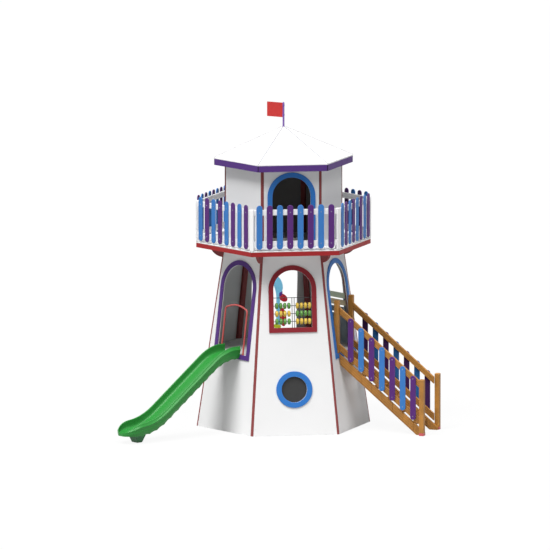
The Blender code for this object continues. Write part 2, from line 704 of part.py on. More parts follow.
def build_slide():
    """Moulded chute on the front left side with its foot, and the bar over its entry."""
    start = trim_clear(PLATFORM_TOP)
    step = (SLIDE_END - start) / (SLIDE_STATIONS - 1)
    against_trim = [(x, -trim_clear(z), z) for x, _, z in slide_section(start)]
    bm = bmesh.new()
    loft(bm, [against_trim] + [slide_section(start + step * i) for i in range(1, SLIDE_STATIONS)])
    turn = turn_of("front_left")
    chute = add_object("slide", bm, SLIDE_GREEN, turn, smooth=50.0)
    foot = bmesh.new()
    top = slide_floor(SLIDE_FOOT_PLACE) - SLIDE_SHELL / 2.0
    sections = []
    for (length, width), z in ((SLIDE_FOOT_BASE, 0.0), (SLIDE_FOOT_TOP, top)):
        sections.append([(x * width / 2.0, -SLIDE_FOOT_PLACE + y * length / 2.0, z)
                         for x, y in ((-1, -1), (1, -1), (1, 1), (-1, 1))])
    loft(foot, sections)
    cut(chute, add_object("slide_foot_shape", foot, None, turn), "UNION")
    build_hoop(turn)


def build_hoop(turn):
    """Round bar over the slide entry, leaning with the wall."""
    half = ENTRY_WIDTH / 2.0 - HOOP_INSET
    depth = (TRIM_THICK - WALL) / 2.0
    foot = up_slope(ENTRY_SILL) + GAP
    inner = half - HOOP_CORNER
    shoulder = up_slope(HOOP_TOP) - HOOP_CORNER
    route = [(-half, foot)]
    steps = HOOP_FACETS // 2
    for i in range(steps + 1):
        angle = math.pi - math.pi / 2.0 * i / steps
        route.append((-inner + HOOP_CORNER * math.cos(angle), shoulder - HOOP_CORNER * (1.0 - math.sin(angle))))
    for i in range(1, steps + 1):
        share = 1.0 - i / steps
        route.append((-inner * share, shoulder + HOOP_BOW * (1.0 - share * share)))
    route += [(-x, y) for x, y in reversed(route[:-1])]
    matrix = leaning_face(depth)
    path = [matrix @ Vector((x, y, 0.0)) for x, y in route]
    bm = bmesh.new()
    normal = matrix.to_3x3() @ Vector((0.0, 0.0, 1.0))
    sections = []
    for i, point in enumerate(path):
        ahead = (path[min(i + 1, len(path) - 1)] - path[max(i - 1, 0)]).normalized()
        across = ahead.cross(normal).normalized()
        sections.append([point + HOOP_RADIUS * (math.cos(a) * across + math.sin(a) * normal)
                         for a in (2.0 * math.pi * k / HOOP_FACETS for k in range(HOOP_FACETS))])
    loft(bm, sections)
    add_object("slide_hoop", bm, HOOP_RED, turn, smooth=40.0)


def trim_clear(z):
    """Distance from the axis that just clears a trim plate on the leaning wall at a height."""
    return apothem_at(z) + TRIM_THICK / math.cos(LEAN) + 2 * GAP


def reach_on_wall(low_reach, height):
    """Where a line at the stair's slope, from a height at low_reach, meets the trim plane."""
    lean = math.tan(LEAN)
    return (trim_clear(0.0) - lean * (height + STAIR_SLOPE * low_reach)) / (1.0 - lean * STAIR_SLOPE)


def sloped_bar(low_reach, high_reaches, top_at_low, depth, side, thickness):
    """A bar at the stair's slope; high_reaches are its upper and lower corners at the tower."""
    fall = depth * STAIR_SQUARE
    upper, lower = high_reaches
    bm = bmesh.new()
    sections = []
    for x in (side - thickness / 2.0, side + thickness / 2.0):
        sections.append([(x, -low_reach, top_at_low - fall), (x, -low_reach, top_at_low),
                         (x, -upper, top_at_low + STAIR_SLOPE * (low_reach - upper)),
                         (x, -lower, top_at_low - fall + STAIR_SLOPE * (low_reach - lower))])
    loft(bm, sections)
    return bm


def nose_line(reach):
    """Height of the line that the treads follow, at a distance from the tower axis."""
    return PLATFORM_TOP - STAIR_SLOPE * (reach - STAIR_HEAD)


def handrail_top(reach):
    """Upper edge of the stair handrail."""
    return nose_line(reach) + HANDRAIL_RISE


def stringer_top(reach):
    """Upper edge of the stringer."""
    return nose_line(reach) + TREAD_DROP


def build_stair():
    """Flight on the front right side: two stringers, six treads and two banisters."""
    turn = turn_of("front_right")
    rail_side = STAIR_POST_SIDE - (STAIR_POST + STAIR_RAIL_THICK) / 2.0 - GAP
    for name, hand in (("left", -1.0), ("right", 1.0)):
        build_stringer(f"{name}_stringer", hand * rail_side, turn)
        build_banister(f"{name}_banister", hand, rail_side, turn)
    inner = rail_side - STAIR_RAIL_THICK / 2.0 - GAP
    rise = PLATFORM_TOP / RISERS
    for step in range(1, RISERS):
        top = rise * step
        nose = STAIR_HEAD + (PLATFORM_TOP - top) / STAIR_SLOPE + TREAD_NOSE
        back = max(nose - TREAD_DEPTH, trim_clear(top - TREAD_THICK))
        tread = box_bmesh((-inner, -nose, top - TREAD_THICK), (inner, -back, top))
        add_object(f"tread_{step}", tread, STAIR_WOOD, turn)


def build_stringer(name, side, turn):
    """Sloping stringer that stands on the ground and meets the tower."""
    low = STAIR_POST_PLACE + STRINGER_TOE
    top = stringer_top(low)
    fall = STRINGER_DEPTH * STAIR_SQUARE
    ends = [reach_on_wall(low, z) for z in (top, top - fall)]
    stringer = add_object(name, sloped_bar(low, ends, top, STRINGER_DEPTH, side, STAIR_RAIL_THICK),
                          STAIR_WOOD, turn)
    ground = box_bmesh((side - 1.0, -low - 1.0, -1.0), (side + 1.0, 0.0, 0.0))
    cut(stringer, add_object(f"{name}_ground_cutter", ground, None, turn))


def build_banister(name, hand, rail_side, turn):
    """Foot post, head post, handrail, bottom rail and the round-ended pickets of one hand."""
    low = STAIR_POST_PLACE
    half = STAIR_POST / 2.0
    head_side = ENTRY_WIDTH / 2.0 - half - STAIR_HEAD_POST_SPACE
    head_face = STAIR_HEAD_POST_PLACE + half
    ends = (head_face - JOINT, head_face - JOINT)
    thick = STAIR_RAIL_THICK + JOINT
    middle = hand * (rail_side + JOINT / 2.0)
    banister = add_object(name, sloped_bar(low, ends, handrail_top(low), HANDRAIL_DEPTH, middle, thick),
                          STAIR_WOOD, turn)
    picket_foot = handrail_top(low) - PICKET_DROP - STAIR_PICKET_HEIGHT
    foot_rail_top = picket_foot + FOOTRAIL_RISE + FOOTRAIL_DEPTH * STAIR_SQUARE
    parts = [sloped_bar(low, ends, foot_rail_top, FOOTRAIL_DEPTH, middle, thick)]
    foot_inner = hand * (STAIR_POST_SIDE - half)
    foot_outer = hand * (STAIR_POST_SIDE + half)
    parts.append(box_bmesh((min(foot_inner, foot_outer), -low - half, 0.0),
                           (max(foot_inner, foot_outer), -low + half, handrail_top(low) + STAIR_POST_RISE)))
    head = hand * head_side
    parts.append(box_bmesh((head - half, -head_face, PLATFORM_TOP + GAP),
                           (head + half, -head_face + STAIR_POST, PLATFORM_TOP + STAIR_HEAD_POST_HEIGHT)))
    rail_outer = hand * (rail_side + STAIR_RAIL_THICK / 2.0)
    first = STAIR_HEAD_POST_PLACE + STAIR_PICKET_HEAD
    pitch = (STAIR_POST_PLACE - STAIR_PICKET_FOOT - first) / (STAIR_PICKETS - 1)
    for i in range(STAIR_PICKETS):
        reach = first + pitch * i
        shape = bmesh.new()
        low_end = handrail_top(reach) - PICKET_DROP - STAIR_PICKET_HEIGHT
        matrix = Matrix(((0.0, 0.0, hand, rail_outer), (-1.0, 0.0, 0.0, 0.0),
                         (0.0, 1.0, 0.0, 0.0), (0.0, 0.0, 0.0, 1.0)))
        plate(shape, picket_outline(reach, low_end, STAIR_PICKET_HEIGHT, STAIR_PICKET_WIDTH), [],
              PICKET_THICK + JOINT, matrix)
        parts.append(shape)
    for i, shape in enumerate(parts):
        cut(banister, add_object(f"{name}_shape_{i}", shape, None, turn), "UNION")


def build_guard():
    """Horizontal boards across the back right opening, on two battens inside the wall."""
    half = ENTRY_WIDTH / 2.0 + GUARD_BATTEN
    pitch = GUARD_BOARD + GUARD_SPACE
    low = GUARD_TOP - pitch * GUARD_BOARDS + GUARD_SPACE
    slots = []
    for i in range(1, GUARD_BOARDS):
        board_top = GUARD_TOP - pitch * i
        slots.append(level_block(half - GUARD_BATTEN, board_top, board_top + GUARD_SPACE))
    bm = bmesh.new()
    plate(bm, level_block(half, low, GUARD_TOP), slots, GUARD_THICK, leaning_face(-WALL - GAP - GUARD_THICK))
    add_object("back_right_guard", bm, OLIVE_BOARD, turn_of("back_right"))


def level_block(half, low, high):
    """A rectangle on the leaning face between two true heights."""
    return [(-half, up_slope(low)), (half, up_slope(low)), (half, up_slope(high)), (-half, up_slope(high))]


def bead_row(places, half):
    """Profile of one rod with its beads, as (place along the rod, radius) pairs."""
    profile = [(-half, ABACUS_ROD)]
    for place in places:
        profile += [(place + offset * BEAD_THICK, max(ABACUS_ROD, share * BEAD_RADIUS))
                    for offset, share in BEAD_PROFILE]
    return profile + [(half, ABACUS_ROD)]


def build_abacus():
    """Bead frame in the front window: an upright, four rods and three rows of beads."""
    matrix = leaning_face(-WALL / 2.0)
    half = ARCH_WIDTH / 2.0 - GAP
    sill = up_slope(WINDOW_SILL) + GAP
    top = up_slope(ABACUS_TOP_ROD) + 2 * ABACUS_ROD
    turned = [2.0 * math.pi * (k + 0.5) / BEAD_FACETS for k in range(BEAD_FACETS)]
    shift = math.pi / BEAD_FACETS / 4.0      # keeps the rods' facets off the upright's
    thick = UPRIGHT_SHARE * ABACUS_ROD
    pitch = (half - BEAD_SPACE - BEAD_FIRST) / (BEADS_EACH_HALF - 1)
    right = [BEAD_FIRST + pitch * i for i in range(BEADS_EACH_HALF)]
    beads = [-place for place in reversed(right)] + right
    upright = bmesh.new()
    loft(upright, [[matrix @ Vector((thick * math.cos(a), y, thick * math.sin(a))) for a in turned]
                   for y in (sill, top)])
    frame = add_object("abacus", upright, ROD_STEEL)
    rows = [(height, beads) for height in ABACUS_ROWS] + [(ABACUS_TOP_ROD, ())]
    for row, (height, places) in enumerate(rows):
        rod = bmesh.new()
        middle = up_slope(height)
        loft(rod, [[matrix @ Vector((x, middle + radius * math.cos(a + shift), radius * math.sin(a + shift)))
                    for a in turned] for x, radius in bead_row(places, half)])
        cut(frame, add_object(f"abacus_rod_{row}", rod, None), "UNION")


def climber_point(z):
    """Middle of the climber's pole at a height: bowed inwards, and swung to one side in its upper half."""
    low = PLATFORM_TOP + GAP
    share = (z - low) / (DECK_TOP - low)
    swung = min(1.0, max(0.0, (z - CLIMBER_SWAY_LOW) / (CLIMBER_SWAY_HIGH - CLIMBER_SWAY_LOW)))
    x = CLIMBER_X - CLIMBER_SWAY * (1.0 - math.cos(math.pi * swung)) / 2.0
    y = CLIMBER_FOOT_Y + (CLIMBER_HEAD_Y - CLIMBER_FOOT_Y) * share + CLIMBER_BOW * math.sin(math.pi * share)
    return Vector((x, y, z))


def build_climber():
    """Bowed pole with petal-shaped steps, from the platform up to the hatch."""
    low = PLATFORM_TOP + GAP
    step = (DECK_TOP - low) / (CLIMBER_STATIONS - 1)
    corners = [2.0 * math.pi * k / CLIMBER_FACETS for k in range(CLIMBER_FACETS)]
    rim = [Vector((CLIMBER_RADIUS * math.cos(a), CLIMBER_RADIUS * math.sin(a), 0.0)) for a in corners]
    bm = bmesh.new()
    loft(bm, [[climber_point(low + step * i) + edge for edge in rim] for i in range(CLIMBER_STATIONS)])
    climber = add_object("pod_climber", bm, SKY_BLUE, smooth=40.0)
    for number, (height, out, width, rise, tilt) in enumerate(CLIMBER_PODS, start=1):
        shape = bmesh.new()
        place = Matrix.Translation(climber_point(height) + Vector((out, 0.0, 0.0)))
        turn = Matrix.Rotation(math.radians(tilt), 4, "Y")
        bmesh.ops.create_uvsphere(shape, u_segments=12, v_segments=6, radius=1.0,
                                  matrix=place @ turn @ Matrix.Diagonal((width, CLIMBER_POD_DEPTH, rise, 1.0)))
        cut(climber, add_object(f"climber_pod_{number}", shape, None), "UNION")


def place_datum():
    """Put the middle of the footprint on the world origin."""
    bpy.context.view_layer.update()
    pieces = [item for item in bpy.data.objects if item.type == "MESH" and not item.hide_render]
    corners = [item.matrix_world @ vert.co for item in pieces
               for vert in item.evaluated_get(bpy.context.evaluated_depsgraph_get()).data.vertices]
    low_x, high_x = min(p.x for p in corners), max(p.x for p in corners)
    low_y, high_y = min(p.y for p in corners), max(p.y for p in corners)
    bpy.data.objects["datum"].location = (-(low_x + high_x) / 2.0, -(low_y + high_y) / 2.0, 0.0)
    bpy.context.view_layer.update()


def main():
    """Build the play tower."""
    clear_scene()
    datum = bpy.data.objects.new("datum", None)
    bpy.context.collection.objects.link(datum)
    build_lower_walls()
    build_lower_posts()
    build_platform()
    build_trims()
    build_deck()
    build_railings()
    build_cabin()
    build_roof()
    build_slide()
    build_stair()
    build_guard()
    build_abacus()
    build_climber()
    place_datum()


main()
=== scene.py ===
"""Dresses the hexagonal play tower: boards, timber, moulded plastic, hardware, light and camera."""

from __future__ import annotations

import logging
import math
from dataclasses import dataclass
from enum import Enum
from typing import Iterable, Mapping, Sequence

import bmesh
import bpy
from mathutils import Matrix, Vector

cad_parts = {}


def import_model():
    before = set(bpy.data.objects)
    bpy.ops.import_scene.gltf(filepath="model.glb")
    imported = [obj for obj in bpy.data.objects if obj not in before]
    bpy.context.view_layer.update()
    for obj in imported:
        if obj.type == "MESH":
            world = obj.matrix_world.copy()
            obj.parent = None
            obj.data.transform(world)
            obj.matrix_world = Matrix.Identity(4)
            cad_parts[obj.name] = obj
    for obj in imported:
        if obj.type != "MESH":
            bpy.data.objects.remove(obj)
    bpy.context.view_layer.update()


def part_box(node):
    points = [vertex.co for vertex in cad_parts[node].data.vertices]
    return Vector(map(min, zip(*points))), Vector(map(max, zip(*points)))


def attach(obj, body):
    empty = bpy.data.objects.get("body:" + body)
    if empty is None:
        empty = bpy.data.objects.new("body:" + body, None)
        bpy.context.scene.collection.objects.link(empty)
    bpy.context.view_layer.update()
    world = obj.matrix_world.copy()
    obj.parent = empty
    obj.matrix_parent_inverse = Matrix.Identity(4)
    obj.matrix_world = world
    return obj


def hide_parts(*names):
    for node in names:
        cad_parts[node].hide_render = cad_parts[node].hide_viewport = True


LOG = logging.getLogger("play_tower")
ROOT = "root"
COS30 = math.cos(math.radians(30.0))
COS60 = math.cos(math.radians(60.0))
GAP = 0.0003
SOFT = 3
SOFTER = 4
FINE_FACETS = 24
EASED = "eased"
OWN_PLACE = "own_place"
ACROSS = Vector((1.0, 0.0, 0.0))
UPWARDS = Vector((0.0, 0.0, 1.0))
UPRIGHT = Matrix.Rotation(math.radians(90.0), 4, "X")

Triple = tuple[float, float, float]
Colour = Triple
Point = tuple[float, float]
Socket = bpy.types.NodeSocket
Sockets = bpy.types.bpy_prop_collection
Tree = bpy.types.NodeTree
BMesh = bmesh.types.BMesh
Feed = Socket | float | tuple[float, ...]


class Spoken(Enum):
    """A choice that the CAD nodes name in small letters."""

    @property
    def word(self) -> str:
        """The choice's name as the nodes spell it."""
        return self.name.lower()


class Side(Spoken):
    """The six sides of the tower, each with its turn from the front in degrees."""

    FRONT = 0.0
    FRONT_RIGHT = 60.0
    BACK_RIGHT = 120.0
    BACK = 180.0
    BACK_LEFT = 240.0
    FRONT_LEFT = 300.0


class Hand(Spoken):
    """Left or right, seen by someone who faces the side from outside."""

    LEFT = -1.0
    RIGHT = 1.0


class Slot(Enum):
    """The record's material slots."""

    WHITE = "white_board"
    RED = "red_board"
    BLUE = "blue_board"
    PURPLE = "purple_board"
    OLIVE = "olive_board"
    FLOOR = "floor_board"
    BURGUNDY = "burgundy_paint"
    SHEET = "dark_sheet"
    BEADS = "bead_rods"
    SKY = "sky_blue"
    FLAG = "flag_red"
    SLIDE = "slide_green"
    HOOP = "hoop_red"
    WOOD = "stair_wood"


class Effect(Enum):
    """The effects that several finishes share, by the names of their node groups."""

    TONE = "cloudy_tone"
    PEEL = "orange_peel"
    WEAR = "edge_wear"
    GRAIN = "pine_grain"
    WEAVE = "net_weave"


class Kind(Enum):
    """The types of socket that the node groups have."""

    NUMBER = "NodeSocketFloat"
    COLOUR = "NodeSocketColor"


def linear(red: int, green: int, blue: int) -> Colour:
    """Turn a display colour, each channel from 0 to 255, into the scene's linear colour."""
    shares = [channel / 255.0 for channel in (red, green, blue)]
    return tuple(s / 12.92 if s <= 0.04045 else ((s + 0.055) / 1.055) ** 2.4 for s in shares)


def paler(colour: Colour, share: float) -> Colour:
    """Move a colour some way towards white."""
    return tuple(channel + (1.0 - channel) * share for channel in colour)


class Graph:
    """A shader node tree, with shorthands that add a node and feed its sockets."""

    def __init__(self, tree: Tree) -> None:
        """Work on a tree."""
        self.tree = tree
        self.nodes = tree.nodes

    def feed(self, socket: Socket, source: Feed) -> None:
        """Feed an input socket.

        Args:
            socket: The input.
            source: Another node's output, a number, three factors or a colour.
        """
        if isinstance(source, Socket):
            self.tree.links.new(source, socket)
        elif socket.type == "RGBA":
            socket.default_value = (*source, 1.0)
        else:
            socket.default_value = source

    def add(self, kind: str, feeds: Mapping[str | int, Feed] | None = None,
            **choices: object) -> bpy.types.Node:
        """Add a node.

        Args:
            kind: Its type, without the opening "ShaderNode".
            feeds: What its inputs take, by name or number.
            choices: Its own settings.

        Returns:
            The node.
        """
        node = self.nodes.new(f"ShaderNode{kind}")
        for label, choice in choices.items():
            setattr(node, label, choice)
        for label, source in (feeds or {}).items():
            self.feed(node.inputs[label], source)
        return node

    def maths(self, operation: str, *sources: Feed) -> Socket:
        """Work a sum out and return its result."""
        return self.add("Math", dict(enumerate(sources)), operation=operation).outputs[0]

    def stretched(self, place: Socket, factors: Colour) -> Socket:
        """Multiply a place by a factor for each axis."""
        return self.add("VectorMath", {0: place, 1: factors}, operation="MULTIPLY").outputs[0]

    def noise(self, place: Socket, scale: Feed, detail: float, roughness: float = 0.5) -> Socket:
        """Value of a noise texture with some octaves of detail, the finer ones by a weight."""
        feeds = {"Vector": place, "Scale": scale, "Detail": detail, "Roughness": roughness}
        return self.add("TexNoise", feeds).outputs["Fac"]

    def ranged(self, source: Socket, target: Point, span: Point = (0.0, 1.0)) -> Socket:
        """Carry a value from a span to a target range."""
        limits = dict(zip(("From Min", "From Max", "To Min", "To Max"), (*span, *target)))
        return self.add("MapRange", {"Value": source, **limits}).outputs[0]

    def mixed(self, factor: Socket, first: Feed, second: Feed) -> Socket:
        """Mix two colours."""
        feeds = {"Factor": factor, "A": first, "B": second}
        return self.add("Mix", feeds, data_type="RGBA").outputs["Result"]

    def attribute(self, name: str) -> Sockets:
        """Outputs of the node that reads an attribute of the mesh."""
        return self.add("Attribute", attribute_name=name).outputs

    def object_place(self) -> Socket:
        """Each point's place in the object's axes."""
        return self.add("TexCoord").outputs["Object"]


class GroupGraph(Graph):
    """A shader node group with named inputs and outputs."""

    NOISE_SPAN = (0.3, 0.7)

    def __init__(self, effect: Effect, inputs: Mapping[str, float | Colour],
                 outputs: Mapping[str, Kind]) -> None:
        """Start a group.

        Args:
            effect: The effect that it makes.
            inputs: What each input holds where nothing feeds it.
            outputs: Type of each output.
        """
        super().__init__(bpy.data.node_groups.new(effect.value, "ShaderNodeTree"))
        for label, value in inputs.items():
            kind = Kind.COLOUR if isinstance(value, tuple) else Kind.NUMBER
            socket = self.tree.interface.new_socket(label, in_out="INPUT", socket_type=kind.value)
            socket.default_value = (*value, 1.0) if kind is Kind.COLOUR else value
        for label, kind in outputs.items():
            self.tree.interface.new_socket(label, in_out="OUTPUT", socket_type=kind.value)
        self.enter = self.nodes.new("NodeGroupInput").outputs
        self.leave = self.nodes.new("NodeGroupOutput").inputs


class Effects:
    """Builds the shared node groups, each once."""

    @classmethod
    def get(cls, effect: Effect) -> Tree:
        """Find an effect's group, or build it.

        Args:
            effect: The effect.

        Returns:
            The group.
        """
        makers = {Effect.TONE: cls._tone, Effect.PEEL: cls._peel, Effect.WEAR: cls._wear,
                  Effect.GRAIN: cls._grain, Effect.WEAVE: cls._weave}
        return bpy.data.node_groups.get(effect.value) or makers[effect]()

    @staticmethod
    def _tone() -> Tree:
        """Slow light and dark clouds over a colour.

        Returns:
            The group.
        """
        group = GroupGraph(Effect.TONE, {"Colour": (0.5, 0.5, 0.5), "Scale": 3.0, "Amount": 0.06},
                           {"Colour": Kind.COLOUR})
        cloud = group.noise(group.object_place(), group.enter["Scale"], 3.0)
        swing = group.maths("MULTIPLY", group.maths("SUBTRACT", cloud, 0.5), group.enter["Amount"])
        level = group.maths("MULTIPLY_ADD", swing, 2.0, 1.0)
        toned = group.add("VectorMath", {0: group.enter["Colour"], "Scale": level}, operation="SCALE")
        group.feed(group.leave["Colour"], toned.outputs[0])
        return group.tree

    @staticmethod
    def _peel() -> Tree:
        """The fine pebbling of moulded or coated surfaces.

        Returns:
            The group.
        """
        group = GroupGraph(Effect.PEEL, {"Scale": 400.0}, {"Height": Kind.NUMBER, "Roughness": Kind.NUMBER})
        place = group.object_place()
        broad = group.noise(place, 9.0, 4.0)
        group.feed(group.leave["Height"], group.noise(place, group.enter["Scale"], 2.0))
        group.feed(group.leave["Roughness"], group.ranged(broad, (0.0, 1.0), group.NOISE_SPAN))
        return group.tree

    @staticmethod
    def _wear() -> Tree:
        """A second colour that shows in patches along the eased edges.

        Returns:
            The group.
        """
        group = GroupGraph(Effect.WEAR, {"Colour": (0.5, 0.5, 0.5), "Worn": (0.8, 0.8, 0.8), "Edge": 0.0,
                                         "Amount": 0.4}, {"Colour": Kind.COLOUR})
        patch = group.noise(group.object_place(), 14.0, 5.0, 0.6)
        patches = group.ranged(patch, (0.0, 1.0), group.NOISE_SPAN)
        along = group.maths("MULTIPLY", patches, group.enter["Edge"])
        mask = group.maths("MULTIPLY", along, group.enter["Amount"])
        group.feed(group.leave["Colour"], group.mixed(mask, group.enter["Colour"], group.enter["Worn"]))
        return group.tree

    @staticmethod
    def _grain() -> Tree:
        """Long growth rings and short pores along a piece's own X, with a few knots.

        Returns:
            The group.
        """
        group = GroupGraph(Effect.GRAIN, {"Light": (0.5, 0.3, 0.1), "Dark": (0.3, 0.15, 0.05), "Seed": 0.0},
                           {"Colour": Kind.COLOUR, "Height": Kind.NUMBER})
        ring_stretch, pore_stretch, knot_stretch = (0.9, 11.0, 11.0), (6.0, 160.0, 160.0), (1.0, 2.6, 2.6)
        wave = {"Scale": 0.9, "Distortion": 5.5, "Detail": 3.0, "Detail Scale": 0.8}
        seed = group.enter["Seed"]
        shift = group.add("CombineXYZ", {0: seed, 2: seed}).outputs[0]
        place = group.add("VectorMath", {0: group.attribute(OWN_PLACE)["Vector"], 1: shift}).outputs[0]
        along = group.stretched(place, ring_stretch)
        rings = group.add("TexWave", {"Vector": along, **wave}, bands_direction="Y").outputs["Fac"]
        pores = group.noise(group.stretched(place, pore_stretch), 1.0, 4.0, 0.7)
        cells = group.add("TexVoronoi", {"Vector": group.stretched(place, knot_stretch), "Scale": 1.6})
        knots = group.ranged(cells.outputs["Distance"], (0.75, 0.0), (0.05, 0.12))
        stripes = group.maths("MULTIPLY", rings, 0.40)
        tone = group.maths("MULTIPLY_ADD", group.noise(along, 1.0, 3.0), 0.55, stripes)
        dark = group.maths("MAXIMUM", tone, knots)
        group.feed(group.leave["Colour"], group.mixed(dark, group.enter["Light"], group.enter["Dark"]))
        group.feed(group.leave["Height"], group.maths("MULTIPLY_ADD", pores, 0.6, rings))
        return group.tree

    @staticmethod
    def _weave() -> Tree:
        """Crossing threads of a coarse net, in a piece's own X and Y.

        Returns:
            The group.
        """
        group = GroupGraph(Effect.WEAVE, {"Pitch": 0.012}, {"Height": Kind.NUMBER})
        parts = group.add("SeparateXYZ", {0: group.attribute(OWN_PLACE)["Vector"]}).outputs
        threads = []
        for axis in ("X", "Y"):
            share = group.maths("DIVIDE", parts[axis], group.enter["Pitch"])
            threads.append(group.maths("SINE", group.maths("MULTIPLY", share, 2.0 * math.pi)))
        top = group.maths("MAXIMUM", *threads)
        group.feed(group.leave["Height"], group.maths("MULTIPLY_ADD", top, 0.5, 0.5))
        return group.tree


class MaterialBench(Graph):
    """One material under construction, with its own Principled shader."""

    def __init__(self, name: str) -> None:
        """Make the material.

        Args:
            name: The material's name.
        """
        self.material = bpy.data.materials.new(name)
        self.material.use_nodes = True
        super().__init__(self.material.node_tree)
        self.shader = self.nodes["Principled BSDF"]

    def effect(self, effect: Effect, **feeds: Feed) -> Sockets:
        """Place a shared effect with its own values and return its outputs."""
        return self.add("Group", feeds, node_tree=Effects.get(effect)).outputs

    def shade(self, **feeds: Feed) -> None:
        """Feed the shader; an underscore in a name stands for a space."""
        for label, source in feeds.items():
            self.feed(self.shader.inputs[label.replace("_", " ")], source)

    def bump(self, height: Socket, strength: float, distance: float) -> None:
        """Feed a height to the shader's normal."""
        node = self.add("Bump", {"Strength": strength, "Distance": distance, "Height": height})
        self.shade(Normal=node.outputs["Normal"])

    def rough(self, source: Socket, middle: float, swing: Point) -> None:
        """Let a value swing the shader's roughness about a middle."""
        self.shade(Roughness=self.ranged(source, (middle + swing[0], middle + swing[1])))

    def pebbled(self, scale: float, relief: Point, middle: float, swing: Point) -> None:
        """Give the shader the fine pebbling of a coat.

        Args:
            scale: How fine it is.
            relief: Strength and height of the bump.
            middle: The roughness.
            swing: How far that goes down and up.
        """
        peel = self.effect(Effect.PEEL, Scale=scale)
        self.bump(peel["Height"], *relief)
        self.rough(peel["Roughness"], middle, swing)

    def worn(self, colour: Socket, worn: Colour, amount: float) -> Socket:
        """Wear a colour along the eased edges and feed it to the shader.

        Args:
            colour: The whole colour.
            worn: The colour of worn places.
            amount: How much of them shows.

        Returns:
            The colour with its wear.
        """
        edge = self.attribute(EASED)["Fac"]
        shown = self.effect(Effect.WEAR, Colour=colour, Worn=worn, Amount=amount, Edge=edge)["Colour"]
        self.shade(Base_Color=shown)
        return shown


@dataclass(frozen=True)
class Finish:
    """What a piece is made of.

    Attributes:
        name: The material's name.
        slot: The record's slot of the pieces that carry it, or None.
    """

    name: str
    slot: Slot | None

    def build(self) -> bpy.types.Material:
        """Return the material, made once."""
        return bpy.data.materials.get(self.name) or self._made()

    def _made(self) -> bpy.types.Material:
        """Make the material.

        Returns:
            The material.
        """
        bench = MaterialBench(self.name)
        self.dress(bench)
        return bench.material

    def dress(self, bench: MaterialBench) -> None:
        """Lay the finish out on a new material; each kind of finish has its own way."""
        raise NotImplementedError


@dataclass(frozen=True)
class BoardFinish(Finish):
    """Through-coloured or laminated sheet with a faint orange peel and paler cut edges."""

    colour: Colour
    roughness: float = 0.42
    tone: float = 0.05
    peel: float = 0.10
    peel_scale: float = 260.0
    edge_lift: float = 0.14
    edge_amount: float = 0.5
    gloss: float = 0.10
    # Strength of a painted glow in the sheet's own colour; zero for none.
    glow: float = 0.0
    cloud_scale: float = 2.2
    peel_depth: float = 0.0006
    swing: Point = (-0.05, 0.07)

    def dress(self, bench: MaterialBench) -> None:
        """Lay the sheet's tone, wear and peel out.

        Args:
            bench: The new material.
        """
        tone = bench.effect(Effect.TONE, Colour=self.colour, Scale=self.cloud_scale, Amount=self.tone)
        bench.worn(tone["Colour"], paler(self.colour, self.edge_lift), self.edge_amount)
        bench.pebbled(self.peel_scale, (self.peel, self.peel_depth), self.roughness, self.swing)
        bench.shade(Specular_IOR_Level=self.gloss)
        # Painted light: the sheet glows in its own colour.
        if self.glow:
            bench.shade(Emission_Color=self.colour, Emission_Strength=self.glow)


@dataclass(frozen=True)
class TimberFinish(Finish):
    """Stained pine with rings, pores and knots along each piece's own X."""

    light: Colour
    dark: Colour
    seed: float
    roughness: float = 0.52
    edge_gain: float = 1.35
    edge_amount: float = 0.55
    cloud: Point = (5.0, 0.42)
    relief: Point = (0.35, 0.0012)
    swing: Point = (-0.07, 0.12)

    def dress(self, bench: MaterialBench) -> None:
        """Lay the grain, stain and wear out.

        Args:
            bench: The new material.
        """
        grain = bench.effect(Effect.GRAIN, Light=self.light, Dark=self.dark, Seed=self.seed)
        tone = bench.effect(Effect.TONE, Colour=grain["Colour"], Scale=self.cloud[0], Amount=self.cloud[1])
        pale = tuple(min(1.0, channel * self.edge_gain) for channel in self.light)
        bench.worn(tone["Colour"], pale, self.edge_amount)
        bench.bump(grain["Height"], *self.relief)
        bench.rough(grain["Height"], self.roughness, self.swing)


@dataclass(frozen=True)
class MouldedFinish(Finish):
    """Rotationally moulded or injected plastic with a soft gloss and a slight mottle.

    Attributes:
        bounce: Share of its colour that it holds back from the light it throws on other pieces.
    """

    colour: Colour
    roughness: float = 0.30
    mottle: float = 0.07
    peel: float = 0.10
    coat: float = 0.20
    gloss: float = 0.25
    # Strength of a painted glow in the plastic's own colour; zero for none.
    glow: float = 0.0
    bounce: float = 0.0
    dull: Colour = (0.12, 0.12, 0.12)
    cloud_scale: float = 5.0
    edge_lift: float = 0.12
    edge_amount: float = 0.4
    peel_scale: float = 180.0
    peel_depth: float = 0.0008
    swing: Point = (-0.05, 0.08)
    coat_roughness: float = 0.18

    def dress(self, bench: MaterialBench) -> None:
        """Lay the mottle, wear, coat and peel out.

        Args:
            bench: The new material.
        """
        tone = bench.effect(Effect.TONE, Colour=self.colour, Scale=self.cloud_scale, Amount=self.mottle)
        surface = bench.worn(tone["Colour"], paler(self.colour, self.edge_lift), self.edge_amount)
        if self.bounce:
            indirect = bench.add("LightPath").outputs["Is Diffuse Ray"]
            share = bench.maths("MULTIPLY", indirect, self.bounce)
            bench.shade(Base_Color=bench.mixed(share, surface, self.dull))
        # Painted light: the plastic glows in its own worn colour.
        if self.glow:
            bench.shade(Emission_Color=surface, Emission_Strength=self.glow)
        bench.pebbled(self.peel_scale, (self.peel, self.peel_depth), self.roughness, self.swing)
        bench.shade(Coat_Weight=self.coat, Coat_Roughness=self.coat_roughness, Specular_IOR_Level=self.gloss)


